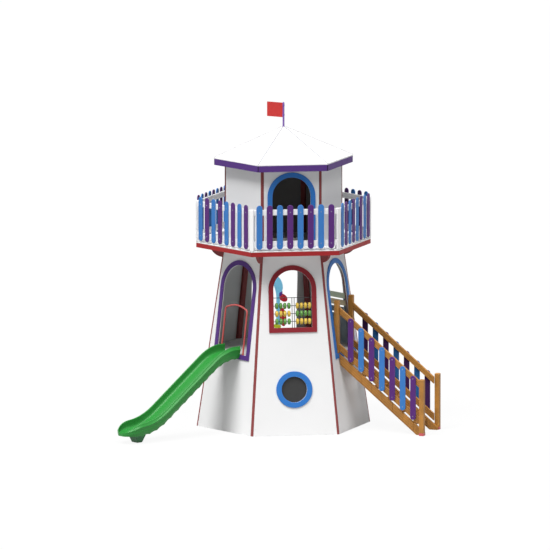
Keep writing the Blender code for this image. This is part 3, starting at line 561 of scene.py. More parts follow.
@dataclass(frozen=True)
class MetalFinish(Finish):
    """Steel hardware, or steel tube under powder coat."""

    colour: Colour
    roughness: float
    metallic: float
    cloud: Point = (20.0, 0.10)
    peel_scale: float = 500.0
    relief: Point = (0.12, 0.0005)
    swing: Point = (-0.06, 0.08)

    def dress(self, bench: MaterialBench) -> None:
        """Lay the tone and the fine coat out.

        Args:
            bench: The new material.
        """
        tone = bench.effect(Effect.TONE, Colour=self.colour, Scale=self.cloud[0], Amount=self.cloud[1])
        bench.shade(Base_Color=tone["Colour"], Metallic=self.metallic)
        bench.pebbled(self.peel_scale, self.relief, self.roughness, self.swing)


@dataclass(frozen=True)
class NetFinish(Finish):
    """Dark woven sheet stretched behind the porthole."""

    thread: Colour
    hollow: Colour
    pitch: float
    relief: Point = (0.6, 0.002)
    roughness: Point = (0.75, 0.6)

    def dress(self, bench: MaterialBench) -> None:
        """Lay the weave out.

        Args:
            bench: The new material.
        """
        height = bench.effect(Effect.WEAVE, Pitch=self.pitch)["Height"]
        bench.shade(Base_Color=bench.mixed(height, self.hollow, self.thread),
                    Roughness=bench.ranged(height, self.roughness))
        bench.bump(height, *self.relief)


class Looks:
    """Every finish of the tower."""

    WHITE = BoardFinish("white_laminate", Slot.WHITE, linear(238, 238, 238), 0.45, 0.012, edge_lift=0.0)
    WALL = BoardFinish("white_wall_board", Slot.WHITE, linear(231, 231, 231), 0.5, 0.02, edge_lift=0.0)
    STRIP = BoardFinish("grey_strip", Slot.WHITE, linear(176, 176, 180), 0.5, 0.04)
    # Painted shade: grey with a faint painted glow on the lower walls' inner faces, for the shade inside the
    # tower.
    WALL_INNER_SHADE = BoardFinish("grey_painted_shade", Slot.WHITE, linear(186, 187, 186), 0.6, 0.06, glow=0.02)
    # Painted shade: dark grey with a faint painted glow on the cabin walls' inner faces, for the unlit inside
    # of the cabin.
    LINING = BoardFinish("dark_painted_shade", Slot.WHITE, linear(92, 91, 90), 0.7, 0.08, glow=0.07)
    BURGUNDY = BoardFinish("burgundy_paint", Slot.BURGUNDY, linear(118, 40, 42), 0.45, 0.08, peel_scale=150.0)
    RED = BoardFinish("red_laminate", Slot.RED, linear(158, 44, 46), 0.40)
    WINDOW_RED = BoardFinish("deep_red_laminate", Slot.RED, linear(138, 44, 52), 0.40)
    BLUE = BoardFinish("blue_laminate", Slot.BLUE, linear(54, 116, 190), 0.40)
    PICKET_BLUE = BoardFinish("blue_picket", Slot.BLUE, linear(62, 120, 188), 0.40, 0.07)
    # Painted shade: a darker copy of the blue picket finish for the pickets' back faces.
    PAINTED_SHADE_BLUE = BoardFinish("blue_picket_painted_shade", Slot.BLUE, linear(40, 92, 148), 0.5, 0.07)
    JOINT = BoardFinish("fascia_joint", Slot.PURPLE, linear(34, 18, 48), 0.5)
    # Painted shade: a darker copy of the purple picket finish for the pickets' back faces.
    PAINTED_SHADE_PURPLE = BoardFinish("purple_picket_painted_shade", Slot.PURPLE, linear(62, 34, 80), 0.5, 0.07)
    POLE = BoardFinish("purple_pole_coat", Slot.PURPLE, linear(122, 92, 164), 0.40)
    PURPLE = BoardFinish("purple_laminate", Slot.PURPLE, linear(84, 54, 122), 0.40)
    PICKET_PURPLE = BoardFinish("purple_picket", Slot.PURPLE, linear(88, 48, 116), 0.40, 0.07)
    FLOOR = BoardFinish("grey_floor_board", Slot.FLOOR, linear(184, 184, 182), 0.6, 0.12, 0.3)
    # Painted light: the green grey and beige guard boards glow faintly, lifting them out of the shade inside
    # the opening.
    GREEN_GREY = BoardFinish("green_grey_board", Slot.OLIVE, linear(200, 214, 190), 0.5, 0.10, glow=0.12)
    BEIGE = BoardFinish("beige_board", Slot.OLIVE, linear(214, 200, 166), 0.5, 0.10, glow=0.12)
    BLUE_GREY = BoardFinish("blue_grey_board", Slot.OLIVE, linear(150, 164, 174), 0.5, 0.10)
    FLAG = BoardFinish("flag_sheet", Slot.FLAG, linear(190, 58, 56), 0.6, 0.05)
    NET = NetFinish("dark_net", Slot.SHEET, linear(36, 36, 36), linear(16, 16, 16), 0.020)
    PINE = TimberFinish("stained_pine", Slot.WOOD, linear(192, 134, 56), linear(104, 66, 24), 0.0)
    PINE_DEEP = TimberFinish("stained_pine_deep", Slot.WOOD, linear(184, 126, 50), linear(94, 58, 20), 3.7)
    SLIDE = MouldedFinish("green_moulding", Slot.SLIDE, linear(42, 133, 53), coat=0.10, bounce=0.8)
    FOOT = MouldedFinish("dark_green_foot", Slot.SLIDE, linear(44, 120, 66), 0.45)
    HOOP = MetalFinish("red_powder_coat", Slot.HOOP, linear(182, 74, 72), 0.38, 0.0)
    SHOE = MetalFinish("red_shoe_coat", Slot.HOOP, linear(196, 84, 90), 0.45, 0.0)
    STEEL = MetalFinish("steel_hardware", None, linear(150, 152, 162), 0.36, 1.0)
    CAP = MouldedFinish("white_cap", Slot.WHITE, linear(236, 236, 234), 0.4, 0.01)
    # Painted light: the climber's pole and pods glow in their own colours, lighting them inside the shaded
    # tower.
    SKY = MouldedFinish("sky_blue_moulding", Slot.SKY, linear(128, 206, 242), glow=0.42)
    POD_RED = MouldedFinish("red_pod", Slot.SKY, linear(214, 46, 62), glow=0.25)
    POD_PURPLE = MouldedFinish("purple_pod", Slot.SKY, linear(100, 62, 160), glow=0.25)
    POD_LIME = MouldedFinish("lime_pod", Slot.SKY, linear(212, 222, 60), glow=0.35)
    ROD = MetalFinish("dark_rod", Slot.BEADS, linear(62, 62, 64), 0.4, 0.6)
    BEAD_YELLOW = MouldedFinish("yellow_bead", Slot.BEADS, linear(216, 182, 72), 0.26)
    BEAD_GREEN = MouldedFinish("green_bead", Slot.BEADS, linear(92, 146, 66), 0.26)


@dataclass(frozen=True)
class PicketPaint:
    """Face of the pickets of one colour, and a darker copy of it on their backs as painted shade."""

    face: BoardFinish
    back: BoardFinish


BLUE_PICKET = PicketPaint(Looks.PICKET_BLUE, Looks.PAINTED_SHADE_BLUE)
PURPLE_PICKET = PicketPaint(Looks.PICKET_PURPLE, Looks.PAINTED_SHADE_PURPLE)


@dataclass(frozen=True)
class TowerFrame:
    """The tower's own axes and the few sizes that everything hangs from."""

    axis: Vector
    base_side: float = 1.465
    top_side: float = 0.995
    deck_side: float = 1.470
    deck_top: float = 3.100
    deck_bottom: float = 3.080
    wall: float = 0.018
    trim: float = 0.015
    arch_width: float = 0.640
    entry_width: float = 0.770
    entry_sill: float = 1.296
    window_sill: float = 1.775
    cabin_side: float = 0.990
    platform_top: float = 1.300

    @property
    def lean(self) -> float:
        """Lean of the lower walls from upright."""
        return math.atan(COS30 * (self.base_side - self.top_side) / self.deck_bottom)

    def apothem(self, z: float) -> float:
        """Distance from the axis to a lower wall's outer face at a height."""
        return COS30 * (self.base_side + (self.top_side - self.base_side) * z / self.deck_bottom)

    def trim_clear(self, z: float) -> float:
        """Distance from the axis that just clears a trim on a leaning wall, at a height."""
        return self.apothem(z) + self.trim / math.cos(self.lean) + 2 * GAP

    def up_slope(self, z: float) -> float:
        """Distance up a leaning face at which it reaches a height."""
        return z / math.cos(self.lean)

    def turned(self, side: Side, extra: float = 0.0) -> Matrix:
        """Matrix from a side's own frame, X along the face and Y inwards, to the world."""
        return Matrix.Translation(self.axis) @ Matrix.Rotation(math.radians(side.value + extra), 4, "Z")

    def leaning(self, side: Side, offset: float) -> Matrix:
        """Matrix of a lower wall's face: x across, y up the slope, z outwards.

        Args:
            side: The side of the tower.
            offset: How far outside the face it lies.

        Returns:
            The matrix.
        """
        up = Vector((0.0, math.sin(self.lean), math.cos(self.lean)))
        out = ACROSS.cross(up)
        foot = Vector((0.0, -self.apothem(0.0), 0.0))
        return self.turned(side) @ axes(ACROSS, up, out, foot + out * offset)

    def upright(self, side: Side, apothem: float, offset: float = 0.0) -> Matrix:
        """Matrix of an upright face, or of a plane outside it: x across, y up, z outwards."""
        return self.turned(side) @ shifted(0.0, -apothem - offset) @ UPRIGHT


def shifted(x: float, y: float = 0.0, z: float = 0.0) -> Matrix:
    """Matrix that moves by three distances."""
    return Matrix.Translation((x, y, z))


def axes(first: Vector, second: Vector, third: Vector, origin: Vector) -> Matrix:
    """Build the matrix of a frame.

    Args:
        first: Its X.
        second: Its Y.
        third: Its Z.
        origin: Its origin.

    Returns:
        The matrix.
    """
    matrix = Matrix((first, second, third)).transposed().to_4x4()
    matrix.translation = origin
    return matrix


def arc(centre: Point, radius: float, start: float, sweep: float, steps: int,
        rise: float | None = None) -> list[Point]:
    """Points along a round stretch.

    Args:
        centre: Its centre.
        radius: Its radius across.
        start: Bearing of the first point in degrees.
        sweep: Degrees from the first point to the last.
        steps: Spaces between the points.
        rise: Its radius upwards, where that is another.

    Returns:
        The points, with both ends.
    """
    up = radius if rise is None else rise
    angles = [math.radians(start + sweep * i / steps) for i in range(steps + 1)]
    return [(centre[0] + radius * math.cos(a), centre[1] + up * math.sin(a)) for a in angles]


def circle(radius: float, count: int, first: float = 0.0) -> list[Point]:
    """Evenly spaced points round the origin, the first at a bearing in degrees."""
    return arc((0.0, 0.0), radius, first, 360.0, count)[:-1]


def rectangle(left: float, right: float, low: float, high: float) -> list[Point]:
    """The four corners of a rectangle."""
    return [(left, low), (right, low), (right, high), (left, high)]


def arch_outline(width: float, bottom: float, spring: float, steps: int = 36) -> list[Point]:
    """Doorway outline with a half-round head."""
    half = width / 2.0
    return [(-half, bottom), (half, bottom), *arc((0.0, spring), half, 0.0, 180.0, steps)]


def round_ended(middle: float, low: float, height: float, width: float, steps: int = 14) -> list[Point]:
    """A picket's outline, upright, both ends half round.

    Args:
        middle: Where its middle line stands.
        low: Height of its foot.
        height: Its height.
        width: Its width.
        steps: Spaces along each end.

    Returns:
        The outline.
    """
    radius = width / 2.0
    ends = ((low + height - radius, 0.0), (low + radius, 180.0))
    return [point for centre, start in ends for point in arc((middle, centre), radius, start, 180.0, steps)]


def plate(outline: Sequence[Point], thickness: float, holes: Sequence[Sequence[Point]] = ()) -> BMesh:
    """Extrude a flat outline with holes.

    Args:
        outline: Outer loop in x and y.
        thickness: Thickness along z.
        holes: Inner loops.

    Returns:
        The plate as a mesh.
    """
    bm = bmesh.new()
    edges = []
    for loop in [outline, *holes]:
        verts = [bm.verts.new((x, y, 0.0)) for x, y in loop]
        edges += [bm.edges.new((verts[i - 1], verts[i])) for i in range(len(verts))]
    if holes:
        filled = bmesh.ops.triangle_fill(bm, edges=edges, use_beauty=True, normal=UPWARDS)
        faces = [item for item in filled["geom"] if isinstance(item, bmesh.types.BMFace)]
    else:
        faces = [bm.faces.new([edge.verts[1] for edge in edges])]
    grown = bmesh.ops.extrude_face_region(bm, geom=faces)
    lifted = [item for item in grown["geom"] if isinstance(item, bmesh.types.BMVert)]
    bmesh.ops.translate(bm, verts=lifted, vec=UPWARDS * thickness)
    return bm


def loft(sections: Sequence[Sequence[Vector]], into: BMesh | None = None) -> BMesh:
    """Skin closed loops of equal length into one solid with flat ends.

    Args:
        sections: The loops, one after the other.
        into: The mesh that takes the solid, or None for a new one.

    Returns:
        The mesh.
    """
    bm = bmesh.new() if into is None else into
    loops = [[bm.verts.new(point) for point in section] for section in sections]
    count = len(loops[0])
    for lower, upper in zip(loops, loops[1:]):
        for i in range(count):
            j = (i + 1) % count
            bm.faces.new((lower[i], lower[j], upper[j], upper[i]))
    for end in (loops[0], loops[-1]):
        bm.faces.new(end)
    return bm


def lathe(bm: BMesh, profile: Sequence[Point], matrix: Matrix, facets: int = 14) -> None:
    """Turn a profile about its own Z.

    Args:
        bm: The mesh that takes the solid.
        profile: Pairs of radius and height; a zero radius closes an end.
        matrix: Carries the solid to its place.
        facets: Faces round it.
    """
    rings = []
    for radius, height in profile:
        points = circle(radius, facets) if radius > 0.0 else [(0.0, 0.0)]
        rings.append([bm.verts.new(matrix @ Vector((x, y, height))) for x, y in points])
    for lower, upper in zip(rings, rings[1:]):
        for k in range(facets):
            n = (k + 1) % facets
            turns = ((lower, k), (lower, n), (upper, n), (upper, k))
            bm.faces.new(list(dict.fromkeys(ring[turn % len(ring)] for ring, turn in turns)))


def tube(bm: BMesh, path: Sequence[Vector], radius: float, facets: int = 20) -> None:
    """Skin a round bar along a path.

    Args:
        bm: The mesh that takes the bar.
        path: Points along its middle line.
        radius: Its radius.
        facets: Faces round it.
    """
    sections = []
    normal, steep = UPWARDS, 0.95
    for i, point in enumerate(path):
        ahead = (path[min(i + 1, len(path) - 1)] - path[max(i - 1, 0)]).normalized()
        if i == 0 and abs(ahead.dot(normal)) > steep:
            normal = ACROSS
        across = ahead.cross(normal).normalized()
        normal = across.cross(ahead).normalized()
        sections.append([point + x * across + y * normal for x, y in circle(radius, facets)])
    loft(sections, bm)


def eased(bm: BMesh, width: float, segments: int = 2, limit: float = 35.0) -> BMesh:
    """Turn a mesh's faces outwards, round its sharp edges and mark the new faces.

    Args:
        bm: The mesh to work on.
        width: Width of the rounding.
        segments: Faces across the rounding.
        limit: Smallest edge angle, in degrees, that counts as sharp.

    Returns:
        The same mesh.
    """
    bmesh.ops.recalc_face_normals(bm, faces=bm.faces)
    layer = bm.faces.layers.float.get(EASED) or bm.faces.layers.float.new(EASED)
    sharp = [edge for edge in bm.edges
             if len(edge.link_faces) == 2 and edge.calc_face_angle(0.0) > math.radians(limit)]
    made = bmesh.ops.bevel(bm, geom=sharp, offset=width, segments=segments, profile=0.5, affect="EDGES",
                           clamp_overlap=True)
    for face in made["faces"]:
        face[layer] = 1.0
    return bm


def merge(target: BMesh, part: BMesh, matrix: Matrix | None = None) -> None:
    """Move one mesh into another and free it.

    Args:
        target: The mesh that takes the part.
        part: The mesh that goes in.
        matrix: Carries the part to its place.
    """
    if matrix is not None:
        bmesh.ops.transform(part, matrix=matrix, verts=part.verts)
    mesh = bpy.data.meshes.new("part")
    part.to_mesh(mesh)
    part.free()
    target.from_mesh(mesh)
    bpy.data.meshes.remove(mesh)


def solid_of(node: str) -> BMesh:
    """Copy a CAD node's solid with its flat faces merged.

    Args:
        node: The CAD node.

    Returns:
        The copy.
    """
    weld, flat = 0.00002, math.radians(0.4)
    bm = bmesh.new()
    bm.from_mesh(bpy.data.objects[node].data)
    bmesh.ops.remove_doubles(bm, verts=bm.verts, dist=weld)
    bmesh.ops.dissolve_limit(bm, angle_limit=flat, verts=bm.verts, edges=bm.edges)
    return bm


def cut_off(bm: BMesh, point: Vector, normal: Vector) -> None:
    """Take away what lies beyond a plane and close the cut.

    Args:
        bm: The mesh to cut.
        point: A point of the plane.
        normal: Its direction, towards what goes.
    """
    geometry = [*bm.verts, *bm.edges, *bm.faces]
    bmesh.ops.bisect_plane(bm, geom=geometry, plane_co=point, plane_no=normal, clear_outer=True)
    rim = [edge for edge in bm.edges if len(edge.link_faces) == 1]
    if rim:
        bmesh.ops.triangle_fill(bm, edges=rim, use_beauty=True, use_dissolve=True)


def finish_piece(name: str, bm: BMesh, finishes: Sequence[Finish], matrix: Matrix | None = None,
                 replaces: str | None = None, smooth: float = 50.0) -> None:
    """Turn a mesh into a piece of the tower.

    Args:
        name: The piece's name.
        bm: Its mesh, which is freed.
        finishes: Its finishes in material order; the first has the piece's slot.
        matrix: Takes the mesh from its own axes to the frame, or None where it is already there.
        replaces: The CAD node that it stands for, alone or with others.
        smooth: Edge angle in degrees below which shading is smooth.
    """
    layer = bm.verts.layers.float_vector.new(OWN_PLACE)
    for vertex in bm.verts:
        vertex[layer] = vertex.co
    if matrix is not None:
        bm.transform(matrix)
    bmesh.ops.recalc_face_normals(bm, faces=bm.faces)
    mesh = bpy.data.meshes.new(name)
    bm.to_mesh(mesh)
    bm.free()
    mesh.shade_smooth()
    mesh.set_sharp_from_angle(angle=math.radians(smooth))
    for finish in finishes:
        mesh.materials.append(finish.build())
    piece = bpy.data.objects.new(name, mesh)
    bpy.context.scene.collection.objects.link(piece)
    weighted = piece.modifiers.new("weighted_normals", "WEIGHTED_NORMAL")
    weighted.keep_sharp = True
    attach(piece, ROOT)
    if replaces:
        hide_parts(replaces)
    LOG.info("%s: %d faces", name, len(mesh.polygons))


@dataclass(frozen=True)
class CornerFlats:
    """The six corners of a storey, cut flat and covered by a strip.

    Attributes:
        heights: Foot and head of the strips.
        radii: Distance of the sharp corners from the axis at the foot and the head.
        width: Width of the flats.
        proud: How far the strips stand out from the flats.
        sunk: How far they reach in behind the flats.
        margin: What they leave bare at each side.
    """

    frame: TowerFrame
    heights: Point
    radii: Point
    width: float
    proud: float = 0.0008
    sunk: float = 0.001
    margin: float = 0.002
    ease: float = 0.0004

    @property
    def depth(self) -> float:
        """How far the flats lie inside the sharp corners."""
        return self.width / 2.0 * math.tan(math.radians(30.0))

    def bearings(self) -> list[Vector]:
        """Level directions from the axis to the six corners."""
        turn = self.frame.turned(Side.FRONT).to_3x3()
        return [turn @ Vector((x, y, 0.0)) for x, y in circle(1.0, 6)]

    def middle(self, out: Vector, z: float, radius: float) -> Vector:
        """The middle of a flat at a height where the sharp corner has a radius."""
        return self.frame.axis.xy.to_3d() + out * (radius - self.depth) + UPWARDS * z

    def cut(self, bm: BMesh) -> None:
        """Cut the corners off a mesh.

        Args:
            bm: The mesh, in the frame's own axes.
        """
        (low, high), (wide, narrow) = self.heights, self.radii
        for out in self.bearings():
            normal = out * (high - low) + UPWARDS * (wide - narrow)
            cut_off(bm, self.middle(out, low, wide), normal.normalized())

    def strips(self, name: str, finish: Finish) -> None:
        """Cover the flats.

        Args:
            name: The piece's name.
            finish: The strips' finish.
        """
        bm = bmesh.new()
        for out in self.bearings():
            across = Vector((-out.y, out.x, 0.0)) * (self.width / 2.0 - self.margin)
            sections = []
            for z, radius in zip(self.heights, self.radii):
                middle = self.middle(out, z, radius)
                front, back = middle + out * self.proud, middle - out * self.sunk
                sections.append([front + across, front - across, back - across, back + across])
            merge(bm, eased(loft(sections), self.ease))
        finish_piece(name, bm, [finish])


def dressed_node(node: str, finish: Finish, ease: float = 0.0025, lining: Finish | None = None,
                 flats: CornerFlats | None = None) -> None:
    """Stand an eased copy in for a CAD node.

    Args:
        node: The CAD node.
        finish: Its finish.
        ease: Width of the edge rounding.
        lining: Finish of painted shade for the faces that look at the tower's axis, if another.
        flats: The corners that are cut flat, where there are any.
    """
    bm = solid_of(node)
    if flats is not None:
        flats.cut(bm)
    eased(bm, ease)
    finishes = [finish]
    facing = 0.5
    # Faces that look at the tower's axis take the finish of painted inner shade.
    if lining is not None and flats is not None:
        finishes.append(lining)
        for face in bm.faces:
            inwards = (flats.frame.axis - face.calc_center_median()).xy
            level = face.normal.xy
            if level.length > facing and inwards.normalized().dot(level) > facing:
                face.material_index = 1
    finish_piece(f"{node}_board", bm, finishes, replaces=node)


def mitred_ring(node: str, frame: TowerFrame, side: float, top: float, board: Point, finish: Finish,
                flats: CornerFlats | None = None) -> None:
    """Six boards with mitred ends in a ring.

    Args:
        node: The CAD ring that they stand for.
        frame: The tower's frame.
        side: Outer side of the hexagon.
        top: Height of the upper edge.
        board: Height and thickness of the boards.
        finish: Their finish.
        flats: The corners that are cut flat, where there are any.
    """
    seam, ease = 0.0024, 0.002
    depth, thick = board
    outer, inner = side / 2.0 - seam, (side - thick / COS30) / 2.0 - seam
    plan = [(-outer, 0.0), (outer, 0.0), (inner, -thick), (-inner, -thick)]
    bm = bmesh.new()
    for face in Side:
        sections = [[Vector((x, z, out)) for x, out in plan] for z in (top - depth, top)]
        merge(bm, eased(loft(sections), ease), frame.upright(face, COS30 * side))
    if flats is not None:
        flats.cut(bm)
    finish_piece(f"{node}_boards", bm, [finish], replaces=node)


def picket_rows(node: str, paints: Sequence[PicketPaint], places: Sequence[Point], picket: Triple,
                matrix: Matrix) -> None:
    """Make a railing's pickets, a piece for each colour, round at both ends, their backs darker as painted
    shade.

    Args:
        node: The CAD node that they stand for, with others.
        paints: Their finishes, which take turns.
        places: Middle and foot of each picket on the face.
        picket: Width, height and thickness.
        matrix: The face that they stand on.
    """
    width, height, thick = picket
    ease, backwards = 0.005, -0.9
    for first, paint in enumerate(paints):
        bm = bmesh.new()
        for middle, low in places[first::len(paints)]:
            board = eased(plate(round_ended(middle, low, height, width), thick), ease, SOFT)
            for face in board.faces:
                # Back faces take the darker copy, painted shade.
                face.material_index = 1 if face.normal.z < backwards else 0
            merge(bm, board)
        name = f"{node}_{paint.face.slot.value}_pickets"
        finish_piece(name, bm, [paint.face, paint.back], matrix, node)


@dataclass(frozen=True)
class Head:
    """A screw cap or bolt head: a washer, a dome with a radius and a height, and a round recess."""

    finish: Finish
    radius: float
    height: float

    def profile(self) -> list[Point]:
        """Its cross-section, from the underside over the dome into the recess.

        Returns:
            Pairs of radius and height.
        """
        washer, recess, brim = 1.35 * self.radius, 0.36 * self.radius, 0.25 * self.height
        floor, lip = brim + 0.55 * self.height, brim + 0.98 * self.height
        turns = [math.radians(degrees) for degrees in (0.0, 28.0, 55.0, 75.0)]
        dome = [(self.radius * math.cos(a), brim + self.height * math.sin(a)) for a in turns]
        outside = [(0.0, 0.0), (washer, 0.0), (washer, brim), *dome]
        return [*outside, (recess, lip), (recess, floor), (0.0, floor)]

    def lay(self, name: str, face: Matrix, spots: Iterable[Point]) -> None:
        """Make one piece of heads on a face.

        Args:
            name: The piece's name.
            face: The face, with z outwards.
            spots: Where the heads sit on it.
        """
        bm = bmesh.new()
        for x, y in spots:
            lathe(bm, self.profile(), face @ shifted(x, y))
        finish_piece(name, bm, [self.finish], smooth=35.0)


WALL_CAP = Head(Looks.CAP, 0.010, 0.004)
PICKET_BOLT = Head(Looks.STEEL, 0.006, 0.003)


@dataclass
class LowerStorey:
    """Leaning walls, corner posts with corbels, the platform and the rows of screw caps."""

    frame: TowerFrame
    strip_foot: float = 0.002
    strip_head: float = 0.004
    flat_width: float = 0.054
    post_seam: float = 1.272
    seam_gap: float = 0.003
    post_ease: float = 0.0025
    floor_ease: float = 0.002
    cap_inset: float = 0.060
    cap_pitch: float = 0.420
    cap_first: float = 0.130

    def build(self) -> None:
        """Dress every piece of the lower storey."""
        heights = (self.strip_foot, self.frame.deck_bottom - self.strip_head)
        radii = tuple(self.frame.apothem(z) / COS30 for z in heights)
        flats = CornerFlats(self.frame, heights, radii, self.flat_width)
        flats.strips("lower_corner_strips", Looks.BURGUNDY)
        for side in Side:
            # The walls' inner faces take the grey painted shade.
            dressed_node(f"{side.word}_wall", Looks.WALL, lining=Looks.WALL_INNER_SHADE, flats=flats)
            self._caps(side)
        for number in range(1, 7):
            self._post(f"corner_post_{number}")
        dressed_node("platform_floor", Looks.FLOOR, self.floor_ease)

    def _post(self, node: str) -> None:
        """A corner post in two lengths that meet at the platform.

        Args:
            node: The post's CAD node.
        """
        both = bmesh.new()
        for z, away in ((self.post_seam, UPWARDS), (self.post_seam + self.seam_gap, -UPWARDS)):
            part = solid_of(node)
            cut_off(part, UPWARDS * z, away)
            merge(both, eased(part, self.post_ease))
        finish_piece(f"{node}_timber", both, [Looks.BURGUNDY], replaces=node)

    def _caps(self, side: Side) -> None:
        """White caps over the screws along both edges of a wall.

        Args:
            side: The wall's side.
        """
        run = self.frame.deck_bottom - 2 * self.cap_first
        steps = int(run / self.cap_pitch)
        spots = []
        for i in range(steps + 1):
            z = self.cap_first + run / steps * i
            half = self.frame.apothem(z) / COS30 / 2.0 - self.cap_inset
            spots += [(hand.value * half, self.frame.up_slope(z)) for hand in Hand]
        WALL_CAP.lay(f"{side.word}_wall_caps", self.frame.leaning(side, 0.0), spots)


@dataclass(frozen=True)
class Arch:
    """An arched opening with a painted trim, in its face's own axes; its round head starts at the spring."""

    node: str
    finish: BoardFinish
    width: float
    sill: float
    spring: float


@dataclass
class Openings:
    """Painted trims, the porthole with its net and the guard boards."""

    frame: TowerFrame
    trim_width: float = 0.082
    trim_ease: float = 0.003
    window_spring: float = 2.400
    entry_spring: float = 2.370
    door_spring: float = 3.945
    porthole_height: float = 0.755
    porthole_radius: float = 0.213
    porthole_ring: float = 0.090
    porthole_screws: int = 8
    porthole_facets: int = 96
    ring_ease: float = 0.004
    net_thick: float = 0.006
    net_ease: float = 0.001
    screw_shares: tuple[float, ...] = (0.06, 0.37, 0.68, 0.97)
    screws_on_arch: int = 7
    guard_top: float = 2.160
    guard_board: Triple = (0.092, 0.030, 0.020)
    guard_boards: int = 7
    guard_batten: float = 0.040
    batten_set: float = 0.002
    batten_less: float = 0.003
    panel: float = 0.460
    panel_set: float = 0.010
    panel_lift: float = 0.003
    panel_thick: float = 0.006
    panel_ease: float = 0.0015

    def build(self) -> None:
        """Dress the trims, the porthole and the guard."""
        frame, up = self.frame, self.frame.up_slope
        sill, spring = up(frame.entry_sill), up(self.entry_spring)
        for node, side, finish in (("slide_arch_trim", Side.FRONT_LEFT, Looks.PURPLE),
                                   ("stair_arch_trim", Side.FRONT_RIGHT, Looks.BLUE),
                                   ("back_arch_trim", Side.BACK, Looks.RED),
                                   ("guard_arch_trim", Side.BACK_RIGHT, Looks.PURPLE)):
            self._leaning(side, Arch(node, finish, frame.entry_width, sill, spring))
        self._leaning(Side.FRONT, Arch("window_trim", Looks.WINDOW_RED, frame.arch_width,
                                       up(frame.window_sill), up(self.window_spring)))
        self._door()
        self._porthole()
        self._guard()

    def _leaning(self, side: Side, arch: Arch) -> None:
        """A trim with four sides on a leaning wall.

        Args:
            side: The wall's side.
            arch: The opening.
        """
        outer = arch_outline(arch.width + 2 * self.trim_width,
                             arch.sill - self.frame.up_slope(self.trim_width), arch.spring)
        inner = arch_outline(arch.width, arch.sill, arch.spring)
        bm = plate(outer, self.frame.trim, [inner])
        self._trim(arch, bm, self.frame.leaning(side, GAP))

    def _door(self) -> None:
        """The cabin's door trim, open at the foot."""
        foot = self.frame.deck_top + GAP
        arch = Arch("door_trim", Looks.BLUE, self.frame.arch_width, foot, self.door_spring)
        outer = arch_outline(arch.width + 2 * self.trim_width, arch.sill, arch.spring)
        inner = arch_outline(arch.width, arch.sill, arch.spring)
        bm = plate([*outer[1:], outer[0], inner[0], *reversed(inner[1:])], self.frame.trim)
        self._trim(arch, bm, self.frame.upright(Side.FRONT, COS30 * self.frame.cabin_side, GAP))

    def _trim(self, arch: Arch, bm: BMesh, place: Matrix) -> None:
        """Finish a trim and set screws capped in its own colour round it.

        Args:
            arch: The opening.
            bm: The trim's mesh.
            place: Where the trim lies.
        """
        finish_piece(f"{arch.node}_board", eased(bm, self.trim_ease), [arch.finish], place, arch.node)
        radius = (arch.width + self.trim_width) / 2.0
        spots = [(hand.value * radius, arch.sill + (arch.spring - arch.sill) * share) for hand in Hand
                 for share in self.screw_shares]
        spots += arc((0.0, arch.spring), radius, 0.0, 180.0, self.screws_on_arch)[1:-1]
        self._screw(arch.finish).lay(f"{arch.node}_screws", place @ shifted(0.0, 0.0, self.frame.trim), spots)

    @staticmethod
    def _screw(finish: Finish) -> Head:
        """A small screw capped in a trim's finish."""
        return Head(finish, 0.007, 0.003)

    def _porthole(self) -> None:
        """Blue ring with its screws, and the dark net behind it."""
        trim, turn = self.frame.trim, 180.0 / self.porthole_screws
        middle = shifted(0.0, self.frame.up_slope(self.porthole_height))
        outer, inner = [circle(self.porthole_radius + more, self.porthole_facets)
                        for more in (self.porthole_ring, 0.0)]
        place = self.frame.leaning(Side.FRONT, GAP) @ middle
        ring = eased(plate(outer, trim, [inner]), self.ring_ease, SOFT)
        finish_piece("porthole_ring_board", ring, [Looks.BLUE], place, "porthole_ring")
        rim = circle(self.porthole_radius + self.porthole_ring / 2.0, self.porthole_screws, turn)
        self._screw(Looks.BLUE).lay("porthole_screws", place @ shifted(0.0, 0.0, trim), rim)
        behind = self.frame.leaning(Side.FRONT, -self.frame.wall - GAP - self.net_thick)
        finish_piece("porthole_net", eased(plate(outer, self.net_thick), self.net_ease), [Looks.NET],
                     behind @ middle, "porthole_sheet")

    def _guard(self) -> None:
        """The guard boards across the back right opening, in three muted colours from the top down."""
        up = self.frame.up_slope
        board, space, thick = self.guard_board
        half = self.frame.entry_width / 2.0 + self.guard_batten
        pitch = board + space
        base = self.guard_top - pitch * self.guard_boards + space
        bm = bmesh.new()

        def slab(left: float, right: float, low: float, high: float, index: int, depth: float) -> None:
            """Add one board, centred in the guard's thickness.

            Args:
                left: Its left end.
                right: Its right end.
                low: Height of its lower edge.
                high: Height of its upper edge.
                index: Its finish.
                depth: Its thickness.
            """
            part = eased(plate(rectangle(left, right, up(low), up(high)), depth), self.trim_ease, SOFT)
            for face in part.faces:
                face.material_index = index
            merge(bm, part, shifted(0.0, 0.0, (thick - depth) / 2.0))

        for number in range(self.guard_boards):
            top = self.guard_top - pitch * number
            slab(-half, half, top - board, top, min(2, number), thick)
        low, high = base + self.batten_set, self.guard_top - self.batten_set
        for hand in Hand:
            insets = (self.guard_batten, self.batten_set)
            left, right = sorted(hand.value * (half - inset) for inset in insets)
            slab(left, right, low, high, 2, thick - self.batten_less)
        inside = -self.frame.wall - GAP - thick
        # The top boards' finishes carry a faint painted glow.
        finish_piece("back_right_guard_boards", bm, [Looks.GREEN_GREY, Looks.BEIGE, Looks.BLUE_GREY],
                     self.frame.leaning(Side.BACK_RIGHT, inside), "back_right_guard")
        edge = half - self.panel_set
        low, high = up(self.frame.platform_top + self.panel_lift), up(base + self.panel)
        sheet = eased(plate(rectangle(-edge, edge, low, high), self.panel_thick), self.panel_ease)
        finish_piece("back_right_guard_panel", sheet, [Looks.BLUE_GREY],
                     self.frame.leaning(Side.BACK_RIGHT, inside - GAP - self.panel_thick))


